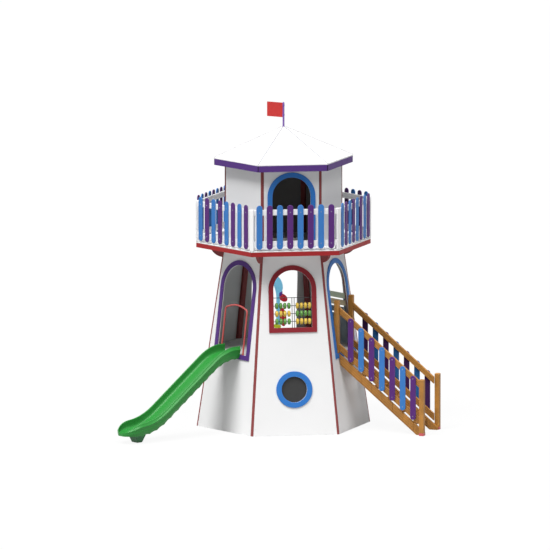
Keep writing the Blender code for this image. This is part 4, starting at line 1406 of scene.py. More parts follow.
@dataclass
class Abacus:
    """Bead frame in the front window."""

    frame: TowerFrame
    rows: tuple[float, ...] = (1.876, 2.004, 2.134)
    top_rod: float = 2.267
    rod: float = 0.0055
    rod_facets: int = 12
    bead_radius: float = 0.052
    bead_thick: float = 0.050
    bead_belly: float = 0.42
    bead_slack: float = 0.002
    inner_beads: Point = (0.063, 0.077)
    bead_pitch: float = 0.068
    beads: int = 4
    uprights: Point = (-0.010, 0.028)

    def build(self) -> None:
        """Make the rods and the two colours of beads."""
        place = self.frame.leaning(Side.FRONT, -self.frame.wall / 2.0)
        half = self.frame.arch_width / 2.0 - GAP
        up = self.frame.up_slope
        foot, head = up(self.frame.window_sill) + GAP, up(self.top_rod)
        lines = [((-half, up(height)), (half, up(height))) for height in (*self.rows, self.top_rod)]
        lines += [((x, foot), (x, head)) for x in self.uprights]
        bm = bmesh.new()
        for ends in lines:
            tube(bm, [Vector((x, y, 0.0)) for x, y in ends], self.rod, self.rod_facets)
        finish_piece("abacus_rods", bm, [Looks.ROD], place, "abacus")
        self._beads("yellow", Looks.BEAD_YELLOW, place)
        self._beads("green", Looks.BEAD_GREEN, place)

    def _beads(self, word: str, finish: MouldedFinish, place: Matrix) -> None:
        """The beads of one colour, which changes sides from row to row.

        Args:
            word: The colour's name.
            finish: The colour.
            place: The window's middle plane.
        """
        bm = bmesh.new()
        for row, height in enumerate(self.rows):
            on_left = (row % 2 == 0) == (finish is Looks.BEAD_GREEN)
            hand, inner = (Hand.LEFT, self.inner_beads[0]) if on_left else (Hand.RIGHT, self.inner_beads[1])
            for i in range(self.beads):
                spot = shifted(hand.value * (inner + self.bead_pitch * i), self.frame.up_slope(height))
                lathe(bm, self._bead(), spot @ Matrix.Rotation(math.pi / 2.0, 4, "Y"), FINE_FACETS)
        finish_piece(f"abacus_{word}_beads", bm, [finish], place, "abacus")

    def _bead(self) -> list[Point]:
        """Profile of a turned bead with a bore.

        Returns:
            Pairs of radius and height.
        """
        half, bore = self.bead_thick / 2.0, self.rod + self.bead_slack
        belly = self.bead_radius * self.bead_belly
        side = arc((self.bead_radius - belly, 0.0), belly, -90.0, 180.0, 10, half)
        return [(bore, -half), *side, (bore, half), (bore, -half)]


@dataclass(frozen=True)
class Pod:
    """One petal-shaped step of the climber.

    Attributes:
        out: How far it stands to the right of the pole.
        size: Half sizes across, in depth and upwards.
        tilt: Its lean in degrees.
    """

    height: float
    out: float
    size: Triple
    tilt: float
    finish: MouldedFinish


@dataclass
class PodClimber:
    """Bowed sky-blue pole with coloured petal-shaped steps, which glow with painted light."""

    frame: TowerFrame
    x: float = -0.036
    foot_y: float = 0.340
    head_y: float = 0.110
    bow: float = 0.100
    radius: float = 0.032
    sway: float = 0.200
    sway_heights: Point = (2.056, 2.776)
    steps: int = 48
    pods: tuple[Pod, ...] = (
        Pod(1.590, -0.014, (0.064, 0.060, 0.042), 8.0, Looks.POD_LIME),
        Pod(1.745, 0.078, (0.060, 0.055, 0.160), -6.0, Looks.POD_RED),
        Pod(2.140, 0.042, (0.034, 0.040, 0.062), 14.0, Looks.POD_PURPLE),
        Pod(2.070, 0.080, (0.086, 0.055, 0.058), 40.0, Looks.POD_RED),
        Pod(2.300, 0.046, (0.072, 0.055, 0.140), -16.0, Looks.SKY),
        Pod(2.640, 0.060, (0.070, 0.055, 0.090), 16.0, Looks.POD_LIME))

    def path_point(self, z: float) -> Vector:
        """A point on the pole's middle line, bowed inwards and swung to one side in its upper half.

        Args:
            z: Height of the point.

        Returns:
            The point in the front side's frame.
        """
        low = self.frame.platform_top + GAP
        share = (z - low) / (self.frame.deck_top - low)
        start, end = self.sway_heights
        swung = min(1.0, max(0.0, (z - start) / (end - start)))
        y = self.foot_y + (self.head_y - self.foot_y) * share + self.bow * math.sin(math.pi * share)
        return Vector((self.x - self.sway * (1.0 - math.cos(math.pi * swung)) / 2.0, y, z))

    def build(self) -> None:
        """Make the pole and its steps."""
        place = self.frame.turned(Side.FRONT)
        low = self.frame.platform_top + GAP
        step = (self.frame.deck_top - low) / self.steps
        bm = bmesh.new()
        tube(bm, [self.path_point(low + step * i) for i in range(self.steps + 1)], self.radius)
        finish_piece("climber_pole", bm, [Looks.SKY], place, "pod_climber")
        for number, pod in enumerate(self.pods, start=1):
            spot = Matrix.Translation(self.path_point(pod.height) + ACROSS * pod.out)
            turn = Matrix.Rotation(math.radians(pod.tilt), 4, "Y")
            bm = bmesh.new()
            bmesh.ops.create_uvsphere(bm, u_segments=36, v_segments=20, radius=1.0,
                                      matrix=spot @ turn @ Matrix.Diagonal((*pod.size, 1.0)))
            finish_piece(f"climber_pod_{number}", bm, [pod.finish], place, "pod_climber")


@dataclass
class Gallery:
    """Deck, fascia boards and the six picket railings."""

    frame: TowerFrame
    pickets: int = 8
    rail_end: float = 0.133
    picket: Triple = (0.100, 0.740, 0.018)
    lift: float = 0.025
    rail_thick: float = 0.036
    rails: tuple[Point, ...] = ((3.168, 3.263), (3.695, 3.787))
    rail_ease: float = 0.004
    post: float = 0.070
    post_top: float = 3.792
    post_ease: float = 0.005
    fascia: Point = (0.075, 0.022)
    deck_ease: float = 0.003
    paints: tuple[PicketPaint, ...] = (BLUE_PICKET, PURPLE_PICKET)

    def build(self) -> None:
        """Make the deck and all railings."""
        dressed_node("deck_floor", Looks.WHITE, self.deck_ease)
        mitred_ring("deck_fascia", self.frame, self.frame.deck_side, self.frame.deck_bottom - GAP,
                    self.fascia, Looks.RED)
        for side in Side:
            self._railing(side)

    def _railing(self, side: Side) -> None:
        """Rails and corner post in white, pickets in two colours, and their bolts.

        Args:
            side: The railing's side.
        """
        node = f"{side.word}_railing"
        wide, deck, half = self.frame.deck_side, self.frame.deck_top, self.post / 2.0
        face = COS30 * wide
        place = self.frame.upright(side, face)
        outer, inner = [(COS60 * depth - half - GAP) / COS30 for depth in (face, face - self.rail_thick)]
        plan = [(-outer, 0.0), (-inner, -self.rail_thick), (inner, -self.rail_thick), (outer, 0.0)]
        white = bmesh.new()
        for rail in self.rails:
            bar = loft([[Vector((x, z, out)) for x, out in plan] for z in rail])
            merge(white, eased(bar, self.rail_ease, SOFT), place)
        corners = rectangle(wide - self.post, wide, -half, half)
        post = loft([[Vector((x, y, z)) for x, y in corners] for z in (deck + GAP, self.post_top)])
        merge(white, eased(post, self.post_ease, SOFT), self.frame.turned(side, -60.0))
        finish_piece(f"{node}_rails", white, [Looks.WHITE], replaces=node)
        pitch = (wide - 2 * self.rail_end) / (self.pickets - 1)
        middles = [(i - (self.pickets - 1) / 2.0) * pitch for i in range(self.pickets)]
        picket_rows(node, self.paints, [(middle, deck + self.lift) for middle in middles], self.picket, place)
        PICKET_BOLT.lay(f"{node}_bolts", place @ shifted(0.0, 0.0, self.picket[2]),
                        [(middle, sum(rail) / 2.0) for middle in middles for rail in self.rails])


@dataclass
class Cabin:
    """Upright walls with painted shade on their inner faces, the frame behind them and the caps."""

    frame: TowerFrame
    wall_top: float = 4.500
    strip_foot: float = 0.002
    strip_head: float = 0.010
    flat_width: float = 0.060
    cap_inset: float = 0.050
    cap_rises: tuple[float, ...] = (0.12, 0.52, 0.92, 1.30)
    frame_ease: float = 0.002

    def build(self) -> None:
        """Dress the cabin."""
        wide, deck = self.frame.cabin_side, self.frame.deck_top
        heights = (deck + self.strip_foot, self.wall_top - self.strip_head)
        flats = CornerFlats(self.frame, heights, (wide, wide), self.flat_width)
        flats.strips("cabin_corner_strips", Looks.BURGUNDY)
        half = wide / 2.0 - self.cap_inset
        spots = [(hand.value * half, deck + rise) for hand in Hand for rise in self.cap_rises]
        for side in Side:
            # The walls' inner faces take the dark painted shade.
            dressed_node(f"{side.word}_cabin_wall", Looks.WALL, lining=Looks.LINING, flats=flats)
            WALL_CAP.lay(f"{side.word}_cabin_caps", self.frame.upright(side, COS30 * wide), spots)
        dressed_node("cabin_frame", Looks.BURGUNDY, self.frame_ease)


@dataclass
class Roof:
    """Six roof boards that meet at the ridges, fascia boards, pole and flag."""

    frame: TowerFrame
    side: float = 1.170
    crown: float = 0.036
    pitch: float = 0.434
    thick: float = 0.018
    board_ease: float = 0.0015
    fascia: Point = (0.105, 0.020)
    fascia_top: float = 4.485
    seam: float = 0.0020
    ridge: Point = (0.011, 0.003)
    ridge_fall: float = 0.25
    ridge_ends: Point = (0.004, 0.002)
    joint: float = 0.020
    joint_set: float = 0.001
    cap_over: float = 0.004
    cap_taper: float = 0.002
    cap_depth: float = 0.030
    pole_radius: float = 0.016
    pole_top: float = 5.410
    pole_facets: int = 28
    collar: Triple = (1.2, 0.006, 0.010)
    flag: Triple = (0.300, 0.245, 0.004)
    flag_bearing: float = 141.0
    flag_drop: float = 0.012
    flag_corner: float = 0.010
    flag_ease: float = 0.001
    clip_inset: float = 0.040
    clip_half: float = 0.009
    clip_gauge: float = 0.003

    @property
    def rise(self) -> float:
        """Upright thickness of the sloping boards."""
        return self.thick * math.sqrt(1.0 + (self.pitch / COS30) ** 2)

    def underside(self, side: float) -> float:
        """Height of the boards' underside where the roof's hexagon has a given side."""
        return self.fascia_top + GAP + self.pitch * (self.side - side)

    def build(self) -> None:
        """Make the roof."""
        self._boards()
        heights = (self.fascia_top - self.fascia[0] + self.joint_set, self.fascia_top - self.joint_set)
        flats = CornerFlats(self.frame, heights, (self.side, self.side), self.joint)
        mitred_ring("roof_fascia", self.frame, self.side, self.fascia_top, self.fascia, Looks.PURPLE, flats)
        flats.strips("roof_fascia_joints", Looks.JOINT)
        self._ridges()
        self._crown_seat()
        self._pole()
        self._flag()

    def _boards(self) -> None:
        """The six sloping boards."""
        bm = bmesh.new()
        sides = (self.side, self.crown)
        eaves, crown = [Vector((0.0, -COS30 * side, self.underside(side))) for side in sides]
        wide, narrow = [ACROSS * (side / 2.0 - self.seam) for side in sides]
        corners = (eaves - wide, eaves + wide, crown + narrow, crown - narrow)
        for face in Side:
            board = loft([[corner + UPWARDS * lift for corner in corners] for lift in (0.0, self.rise)])
            merge(bm, eased(board, self.board_ease), self.frame.turned(face))
        finish_piece("roof_boards", bm, [Looks.WHITE], replaces="roof")

    def _ridges(self) -> None:
        """Thin grey strips that cover the joints along the six ridges."""
        bm = bmesh.new()
        width, thick = self.ridge
        edge = -width * self.ridge_fall
        profile = ((-width, edge - thick), (-width, edge + thick), (0.0, thick), (width, edge + thick),
                   (width, edge - thick))
        sides = (self.side - self.ridge_ends[0], self.crown + self.ridge_ends[1])
        for number in range(6):
            turn = Matrix.Rotation(math.radians(60.0 * number), 4, "Z")
            loft([[turn @ Vector((side, y, self.underside(side) + self.rise + z)) for y, z in profile]
                  for side in sides], bm)
        finish_piece("roof_ridge_strips", bm, [Looks.STRIP], self.frame.turned(Side.FRONT))

    def _crown_seat(self) -> None:
        """The small white hexagonal cap that closes the ridges under the pole."""
        top = self.underside(self.crown) + self.rise
        cap = self.crown + self.cap_over
        bm = loft([[Vector((x, y, z)) for x, y in circle(side, 6)]
                   for side, z in ((cap, top - self.cap_depth), (cap - self.cap_taper, top))])
        finish_piece("roof_crown", bm, [Looks.WHITE], self.frame.turned(Side.FRONT))

    def _pole(self) -> None:
        """Round pole with a collar at its foot and a domed top."""
        foot, radius = self.underside(self.crown) + self.rise + GAP, self.pole_radius
        flare, rim, neck = self.collar
        collar = flare * radius
        dome = arc((0.0, self.pole_top - radius), radius, 0.0, 90.0, 6)[:-1]
        bm = bmesh.new()
        lathe(bm, [(0.0, foot), (collar, foot), (collar, foot + rim), (radius, foot + neck), *dome,
                   (0.0, self.pole_top)], self.frame.turned(Side.FRONT), self.pole_facets)
        finish_piece("flag_pole_tube", bm, [Looks.POLE], replaces="flag_pole")

    def _flag(self) -> None:
        """The stiff flag and the two clips that hold it to the pole."""
        length, height, thick = self.flag
        corner, radius = self.flag_corner, self.pole_radius
        near, top = radius + GAP, self.pole_top - self.flag_drop
        right, left, high, low = near + length - corner, near + corner, top - corner, top - height + corner
        centres = ((right, high), (left, high), (left, low), (right, low))
        outline = [point for quarter, centre in enumerate(centres)
                   for point in arc(centre, corner, 90.0 * quarter, 90.0, 4)]
        sheet = eased(plate(outline, thick), self.flag_ease)
        place = self.frame.turned(Side.FRONT, self.flag_bearing) @ shifted(0.0, thick / 2.0) @ UPRIGHT
        finish_piece("flag_sheet", sheet, [Looks.FLAG], place, "flag")
        clips = bmesh.new()
        for z in (top - self.clip_inset, top - height + self.clip_inset):
            band = rectangle(radius, radius + self.clip_gauge, z - self.clip_half, z + self.clip_half)
            lathe(clips, [*band, band[0]], self.frame.turned(Side.FRONT), self.pole_facets)
        finish_piece("flag_clips", clips, [Looks.POLE])


@dataclass
class Slide:
    """Moulded chute with rolled rims, scalloped skirts and a foot, and the bar over its entry."""

    frame: TowerFrame
    side_space: float = 0.080
    end: float = 3.450
    rim: float = 0.135
    skirt: float = 0.082
    skirt_fade: float = 0.60
    crown: float = 0.013
    crown_set: float = 0.040
    crown_share: Point = (0.91, 0.09)
    flank_out: tuple[Point, ...] = (
        (0.014, -0.13), (0.009, -0.03), (0.010, 0.22), (0.008, 0.42), (0.002, 0.50), (0.000, 0.56),
        (0.002, 0.62), (0.007, 0.67), (0.016, 0.75), (0.023, 0.84))
    flank_in: tuple[Point, ...] = (
        (0.055, 0.80), (0.058, 0.60), (0.062, 0.42), (0.067, 0.26), (0.074, 0.14), (0.085, 0.06),
        (0.102, 0.015), (0.125, 0.0))
    dish: Point = (0.30, 0.002)
    shell: float = 0.014
    slope: float = 0.7345
    runout_slope: float = 0.14
    bend: float = 1.413
    runout: float = 2.840
    bend_reach: float = 0.230
    lip: float = 0.300
    lip_narrow: float = 0.985
    lip_least: float = 0.05
    lip_round: float = 2.7
    lip_rim: float = 0.80
    lip_fall: float = 1.8
    closing: Point = (0.955, 0.03)
    closed_share: float = 0.97
    tuck: float = 0.034
    scallop: float = 0.016
    scallop_pitch: float = 0.150
    stations: int = 150
    lip_stations: int = 28
    foot_place: float = 3.110
    foot_top: Point = (0.230, 0.310)
    foot_base: Point = (0.110, 0.150)
    foot_steps: int = 6
    foot_ease: float = 0.012
    hoop_radius: float = 0.0145
    hoop_inset: float = 0.100
    hoop_top: float = 2.100
    hoop_bow: float = 0.045
    hoop_corner: float = 0.055
    flange: Triple = (0.0185, 0.004, 0.007)

    def _bent(self, reach: float, first: float, second: float, middle: float) -> float:
        """Height change of two straight runs joined by a smooth bend.

        Args:
            reach: Distance from the tower axis.
            first: Slope of the first run.
            second: Slope of the second run.
            middle: Where the two would meet.

        Returns:
            The height change there.
        """
        if reach <= middle - self.bend_reach:
            return first * reach
        if reach >= middle + self.bend_reach:
            return first * middle + second * (reach - middle)
        along = reach - (middle - self.bend_reach)
        return first * reach + (second - first) * along * along / (4.0 * self.bend_reach)

    def floor(self, reach: float) -> float:
        """Height of the sliding floor.

        Args:
            reach: Distance from the tower axis.

        Returns:
            The height there.
        """
        drop = self._bent(reach, 0.0, -self.slope, self.bend)
        lift = self._bent(reach, 0.0, self.slope - self.runout_slope, self.runout)
        return self.frame.platform_top + GAP + drop + lift

    def section(self, reach: float) -> list[Vector]:
        """Cross-section of the chute, from the right skirt over the floor to the left skirt and back.

        Args:
            reach: Its distance from the tower axis.

        Returns:
            Its corners.
        """
        floor = self.floor(reach)
        share = max(0.0, (reach - (self.end - self.lip)) / self.lip)
        narrow = max(self.lip_least, math.sqrt(max(0.0, 1.0 - (self.lip_narrow * share) ** self.lip_round)))
        half = (self.frame.arch_width / 2.0 - self.side_space) * narrow
        rim = self.rim * (1.0 - self.lip_rim * share ** self.lip_fall)
        wave = self.scallop * abs(math.sin(math.pi * reach / self.scallop_pitch))
        skirt = (self.skirt - wave * (1.0 - share)) * (1.0 - self.skirt_fade * share)
        hem = half - self.tuck * narrow
        low = hem - self.shell * narrow
        crown = (half - self.crown_set * narrow, floor + rim * self.crown_share[0])
        right = [(low, floor - skirt), (hem, floor - skirt)]
        right += [(half - out * narrow, floor + up * rim) for out, up in self.flank_out]
        right += arc(crown, self.crown * narrow, 0.0, 180.0, 8, rim * self.crown_share[1])
        right += [(half - out * narrow, floor + up * rim) for out, up in self.flank_in]
        right.append((half * self.dish[0], floor - self.dish[1] * narrow))
        left = [(-x, z) for x, z in reversed(right)]
        closed = min(1.0, max(0.0, (share - self.closing[0]) / self.closing[1]))
        under = floor - self.shell - (skirt - self.shell) * self.closed_share * closed
        return [Vector((x, -reach, z)) for x, z in (*right, *left, (-low, under), (low, under))]

    def build(self) -> None:
        """Make the chute, its foot and the hoop."""
        start, straight = self.frame.trim_clear(self.frame.platform_top), self.end - self.lip
        reaches = [start + (straight - start) * i / self.stations for i in range(self.stations)]
        reaches += [reach for reach, _ in arc((straight, 0.0), self.lip, -90.0, 90.0, self.lip_stations)]
        sections = [self.section(reach) for reach in reaches]
        sections[0] = [Vector((p.x, -self.frame.trim_clear(p.z), p.z)) for p in sections[0]]
        place = self.frame.turned(Side.FRONT_LEFT)
        finish_piece("slide_chute", loft(sections), [Looks.SLIDE], place, "slide", smooth=42.0)
        self._foot(place)
        self._hoop()

    def _foot(self, place: Matrix) -> None:
        """The tapered foot under the run-out, with rounded corners.

        Args:
            place: The slide's own frame.
        """
        top = self.floor(self.foot_place) - self.shell
        sections = []
        for share in (i / self.foot_steps for i in range(self.foot_steps + 1)):
            along, across = [(base + (head - base) * share) / 2.0
                             for base, head in zip(self.foot_base, self.foot_top)]
            corners = rectangle(-across, across, -along, along)
            sections.append([Vector((x, y - self.foot_place, top * share)) for x, y in corners])
        foot = eased(loft(sections), self.foot_ease, SOFTER)
        finish_piece("slide_foot", foot, [Looks.FOOT], place, "slide")

    def _hoop(self) -> None:
        """The bar over the slide's entry, with a flange at each foot."""
        corner, up = self.hoop_corner, self.frame.up_slope
        half = self.frame.entry_width / 2.0 - self.hoop_inset
        inner = half - corner
        foot, shoulder = up(self.frame.entry_sill) + GAP, up(self.hoop_top) - corner
        drop = shoulder - corner
        route = [(-half, foot + (drop - foot) * i / 6.0) for i in range(6)]
        route += arc((-inner, drop), corner, 180.0, -90.0, 12)
        for share in (1.0 - i / 12.0 for i in range(1, 13)):
            route.append((-inner * share, shoulder + self.hoop_bow * (1.0 - share * share)))
        route += [(-x, y) for x, y in reversed(route[:-1])]
        bm = bmesh.new()
        tube(bm, [Vector((x, y, 0.0)) for x, y in route], self.hoop_radius)
        flange, gauge, weld = self.flange
        profile = [(0.0, 0.0), (flange, 0.0), (flange, gauge), (self.hoop_radius, weld), (0.0, weld)]
        for hand in Hand:
            lathe(bm, profile, shifted(hand.value * half, foot) @ UPRIGHT.inverted(), FINE_FACETS)
        plane = self.frame.leaning(Side.FRONT_LEFT, (self.frame.trim - self.frame.wall) / 2.0)
        finish_piece("slide_hoop_tube", bm, [Looks.HOOP], plane, "slide_hoop")


def clip_reach(outline: Sequence[Point], near: float, far: float) -> list[Point]:
    """The part of a convex outline between two distances from the tower axis.

    Args:
        outline: Corners as (reach, height) pairs.
        near: The smaller distance.
        far: The larger distance.

    Returns:
        The corners that are left, in the same order.
    """
    kept = list(outline)
    for limit, hand in ((near, 1.0), (far, -1.0)):
        corners, kept = kept, []
        for start, end in zip(corners, corners[1:] + corners[:1]):
            inside = [(point[0] - limit) * hand >= 0.0 for point in (start, end)]
            if inside[0]:
                kept.append(start)
            if inside[0] != inside[1]:
                share = (limit - start[0]) / (end[0] - start[0])
                kept.append((limit, start[1] + (end[1] - start[1]) * share))
    return kept


@dataclass
class Stair:
    """Timber flight with treads, stringers, banisters, round-ended pickets and steel shoes."""

    frame: TowerFrame
    risers: int = 7
    slope: float = 0.815
    post: float = 0.080
    post_chamfer: float = 0.008
    rail_thick: float = 0.040
    head_set: float = 0.054
    foot_rise: float = 0.028
    post_out: float = 0.047
    post_rise: float = 0.086
    head_post_set: float = 0.017
    head_post_height: float = 0.885
    head_post_space: float = 0.015
    handrail_rise: float = 0.831
    handrail_depth: float = 0.092
    picket_drop: float = 0.005
    footrail_depth: float = 0.095
    footrail_rise: float = 0.007
    stringer_depth: float = 0.130
    stringer_slot: float = 0.032
    stringer_toe: float = 0.030
    stringer_seam: float = 0.003
    picket_head: float = 0.247
    picket_foot: float = 0.170
    pickets: int = 7
    picket: Point = (0.098, 0.022)
    bolt_inset: float = 0.058
    tread: Point = (0.034, 0.138)
    tread_nose: float = 0.030
    tread_drop: float = 0.045
    plank_seam: float = 0.002
    shoe: Point = (0.046, 0.004)
    shoe_clear: float = 0.001
    stringer_ease: float = 0.003
    handrail_ease: float = 0.006
    footrail_ease: float = 0.005
    post_ease: float = 0.004
    shoe_ease: float = 0.0012
    tread_ease: float = 0.005
    paints: tuple[PicketPaint, ...] = (PURPLE_PICKET, BLUE_PICKET)

    def __post_init__(self) -> None:
        """Work out the places that several members share."""
        wall = self.frame.apothem(self.frame.platform_top)
        self.square = 1.0 / math.cos(math.atan(self.slope))
        self.head = wall - self.head_set
        self.head_post_place = wall - self.head_post_set
        self.foot_place = self.head + (self.frame.platform_top - self.foot_rise) / self.slope
        self.post_side = self.frame.arch_width / 2.0 + self.post_out
        self.rail_side = self.post_side - (self.post + self.rail_thick) / 2.0 - GAP
        self.picket_top = self.handrail_rise - self.picket_drop
        self.picket_height = self.picket_top - self.tread_drop - self.stringer_slot * self.square
        self.place = self.frame.turned(Side.FRONT_RIGHT)

    def nose_line(self, reach: float) -> float:
        """Height of the line of the tread noses at a distance from the tower axis."""
        return self.frame.platform_top - self.slope * (reach - self.head)

    def trim_reach(self, start: float, height: float) -> float:
        """Where a line at the stair's slope, from a height at a start, meets the trim plane."""
        lean = math.tan(self.frame.lean)
        return (self.frame.trim_clear(0.0) - lean * (height + self.slope * start)) / (1.0 - lean * self.slope)

    def picket_reaches(self) -> list[float]:
        """Where the pickets' middles stand.

        Returns:
            Their distances from the tower axis.
        """
        first = self.head_post_place + self.picket_head
        pitch = (self.foot_place - self.picket_foot - first) / (self.pickets - 1)
        return [first + pitch * i for i in range(self.pickets)]

    def build(self) -> None:
        """Make the whole flight."""
        for hand in Hand:
            self._stringer(hand)
            self._banister(hand)
            self._pickets(hand)
        for step in range(1, self.risers):
            self._tread(step)

    def _sloping(self, name: str, node: str, outline: Sequence[Point], hand: Hand, finish: Finish,
                 ease: float) -> None:
        """A sloping board in one of the flight's side planes, with its grain along it.

        Args:
            name: The piece's name.
            node: The CAD node that it stands for, with others.
            outline: Corners as (reach, height) pairs.
            hand: The side of the flight.
            finish: The timber.
            ease: Edge rounding.
        """
        grain = Vector((0.0, 1.0, self.slope)).normalized()
        rise = ACROSS.cross(grain).normalized()
        side = hand.value * self.rail_side - self.rail_thick / 2.0
        corners = [Vector((side, -reach, height)) for reach, height in outline]
        basis = axes(grain, rise, grain.cross(rise), corners[0])
        back = basis.inverted()
        board = plate([(back @ corner).xy for corner in corners], self.rail_thick)
        finish_piece(name, eased(board, ease, SOFT), [finish], self.place @ basis, node)

    def _stringer(self, hand: Hand) -> None:
        """Sloping stringer in lengths, cut level at the ground and against the tower's trim.

        Args:
            hand: The side of the flight.
        """
        low = self.foot_place + self.stringer_toe
        top = self.nose_line(low) + self.tread_drop
        fall = self.stringer_depth * self.square
        outline = [(low, 0.0), (low, top)]
        for z in (top, top - fall):
            reach = self.trim_reach(low, z)
            outline.append((reach, z + self.slope * (low - reach)))
        outline.append((low - (fall - top) / self.slope, 0.0))
        node = f"{hand.word}_stringer"
        cuts = [-math.inf, *self.picket_reaches(), math.inf]
        half = self.stringer_seam / 2.0
        for number, (near, far) in enumerate(zip(cuts, cuts[1:]), start=1):
            length = clip_reach(outline, near + half, far - half)
            if len(length) > 2:
                self._sloping(f"{node}_length_{number}", node, length, hand, Looks.PINE_DEEP,
                              self.stringer_ease)

    def _banister(self, hand: Hand) -> None:
        """Foot post, head post, handrail and bottom rail of one hand.

        Args:
            hand: The side of the flight.
        """
        half = self.post / 2.0
        low, high = self.foot_place - half, self.head_post_place + half
        line, climb = self.nose_line(low), self.slope * (self.foot_place - self.head_post_place - self.post)
        node = f"{hand.word}_banister"
        hand_foot = line + self.handrail_rise - self.handrail_depth * self.square
        foot = line + self.picket_top - self.picket_height + self.footrail_rise
        for word, base, depth, finish, ease in (
                ("handrail", hand_foot, self.handrail_depth, Looks.PINE, self.handrail_ease),
                ("bottom_rail", foot, self.footrail_depth, Looks.PINE_DEEP, self.footrail_ease)):
            top = base + depth * self.square
            outline = [(low, base), (low, top), (high, top + climb), (high, base + climb)]
            self._sloping(f"{node}_{word}", node, outline, hand, finish, ease)
        post_top = self.nose_line(self.foot_place) + self.handrail_rise + self.post_rise
        self._post(f"{node}_foot_post", node, (self.foot_place, hand.value * self.post_side),
                   (self.shoe[0] + self.shoe_clear, post_top))
        head_side = self.frame.entry_width / 2.0 - half - self.head_post_space
        base = self.frame.platform_top
        self._post(f"{node}_head_post", node, (self.head_post_place, hand.value * head_side),
                   (base + GAP, base + self.head_post_height))
        self._shoe(hand)

    def _post(self, name: str, node: str, place: Point, ends: Point) -> None:
        """A square post with a weathered top, its grain upright.

        Args:
            name: The piece's name.
            node: The CAD node that it stands for, with others.
            place: Its distance from the tower axis and its place across the flight.
            ends: Heights of its foot and head.
        """
        reach, side = place
        low, high = ends
        sections = []
        for x, chamfer in ((low, 0.0), (high - self.post_chamfer, 0.0), (high, self.post_chamfer)):
            edge = self.post / 2.0 - chamfer
            sections.append([Vector((x, y, z)) for y, z in rectangle(-edge, edge, -edge, edge)])
        stand = axes(UPWARDS, ACROSS, UPWARDS.cross(ACROSS), Vector((side, -reach, 0.0)))
        post = eased(loft(sections), self.post_ease, SOFT, limit=25.0)
        finish_piece(name, post, [Looks.PINE], self.place @ stand, node)

    def _shoe(self, hand: Hand) -> None:
        """Red steel shoe that the foot post stands in, open at the top.

        Args:
            hand: The side of the flight.
        """
        lift, gauge = self.shoe
        outer, inner = self.post / 2.0, self.post / 2.0 - gauge
        square = rectangle(-outer, outer, -outer, outer)
        bm = bmesh.new()
        for holes, height in (([rectangle(-inner, inner, -inner, inner)], lift), ([], gauge)):
            merge(bm, plate(square, height, holes), shifted(hand.value * self.post_side, -self.foot_place))
        finish_piece(f"{hand.word}_post_shoe", eased(bm, self.shoe_ease), [Looks.SHOE], self.place)

    def _pickets(self, hand: Hand) -> None:
        """Round-ended pickets on the outer face of the rails, purple first, and their bolts.

        Args:
            hand: The side of the flight.
        """
        width, thick = self.picket
        node = f"{hand.word}_banister"
        outer = hand.value * (self.rail_side + self.rail_thick / 2.0 + GAP)
        face = self.place @ axes(ACROSS.cross(UPWARDS), UPWARDS, ACROSS * hand.value, ACROSS * outer)
        reaches = self.picket_reaches()
        lift = self.picket_top - self.picket_height
        picket_rows(node, self.paints, [(reach, self.nose_line(reach) + lift) for reach in reaches],
                    (width, self.picket_height, thick), face)
        rises = (self.handrail_rise - self.bolt_inset, lift + self.bolt_inset)
        PICKET_BOLT.lay(f"{node}_bolts", face @ shifted(0.0, 0.0, thick),
                        [(reach, self.nose_line(reach) + rise) for reach in reaches for rise in rises])

    def _tread(self, step: int) -> None:
        """A tread with a rounded nose, from two planks side by side.

        Args:
            step: Its number from the ground.
        """
        node = f"tread_{step}"
        thick, depth = self.tread
        half = self.rail_side - self.rail_thick / 2.0 - GAP
        top = self.frame.platform_top / self.risers * step
        nose = self.head + (self.frame.platform_top - top) / self.slope + self.tread_nose
        back = nose - depth
        if step == self.risers - 1:
            back = max(back, self.frame.trim_clear(top - thick))
        split = (nose + back) / 2.0
        bm = bmesh.new()
        for front, rear in ((nose, split + self.plank_seam), (split - self.plank_seam, back)):
            corners = ((front, top - thick), (front, top), (rear, top), (rear, top - thick))
            plank = loft([[Vector((x, -reach, z)) for reach, z in corners] for x in (-half, half)])
            merge(bm, eased(plank, self.tread_ease, SOFT))
        centre = shifted(0.0, -nose, top)
        bmesh.ops.transform(bm, matrix=centre.inverted(), verts=bm.verts)
        finish = Looks.PINE if step % 2 else Looks.PINE_DEEP
        finish_piece(f"{node}_timber", bm, [finish], self.place @ centre, node)


@dataclass(frozen=True)
class Lamp:
    """A soft sun, with angles in degrees; the azimuth runs from the front to the right."""

    name: str
    energy: float
    softness: float
    azimuth: float
    elevation: float

    def place(self) -> None:
        """Add the lamp to the scene."""
        lamp = bpy.data.lights.new(self.name, "SUN")
        lamp.energy = self.energy
        lamp.angle = math.radians(self.softness)
        item = bpy.data.objects.new(self.name, lamp)
        turn, lift = math.radians(self.azimuth), math.radians(self.elevation)
        towards = Vector((math.sin(turn) * math.cos(lift), -math.cos(turn) * math.cos(lift), math.sin(lift)))
        item.rotation_mode = "QUATERNION"
        item.rotation_quaternion = towards.to_track_quat("Z", "Y")
        bpy.context.scene.collection.objects.link(item)


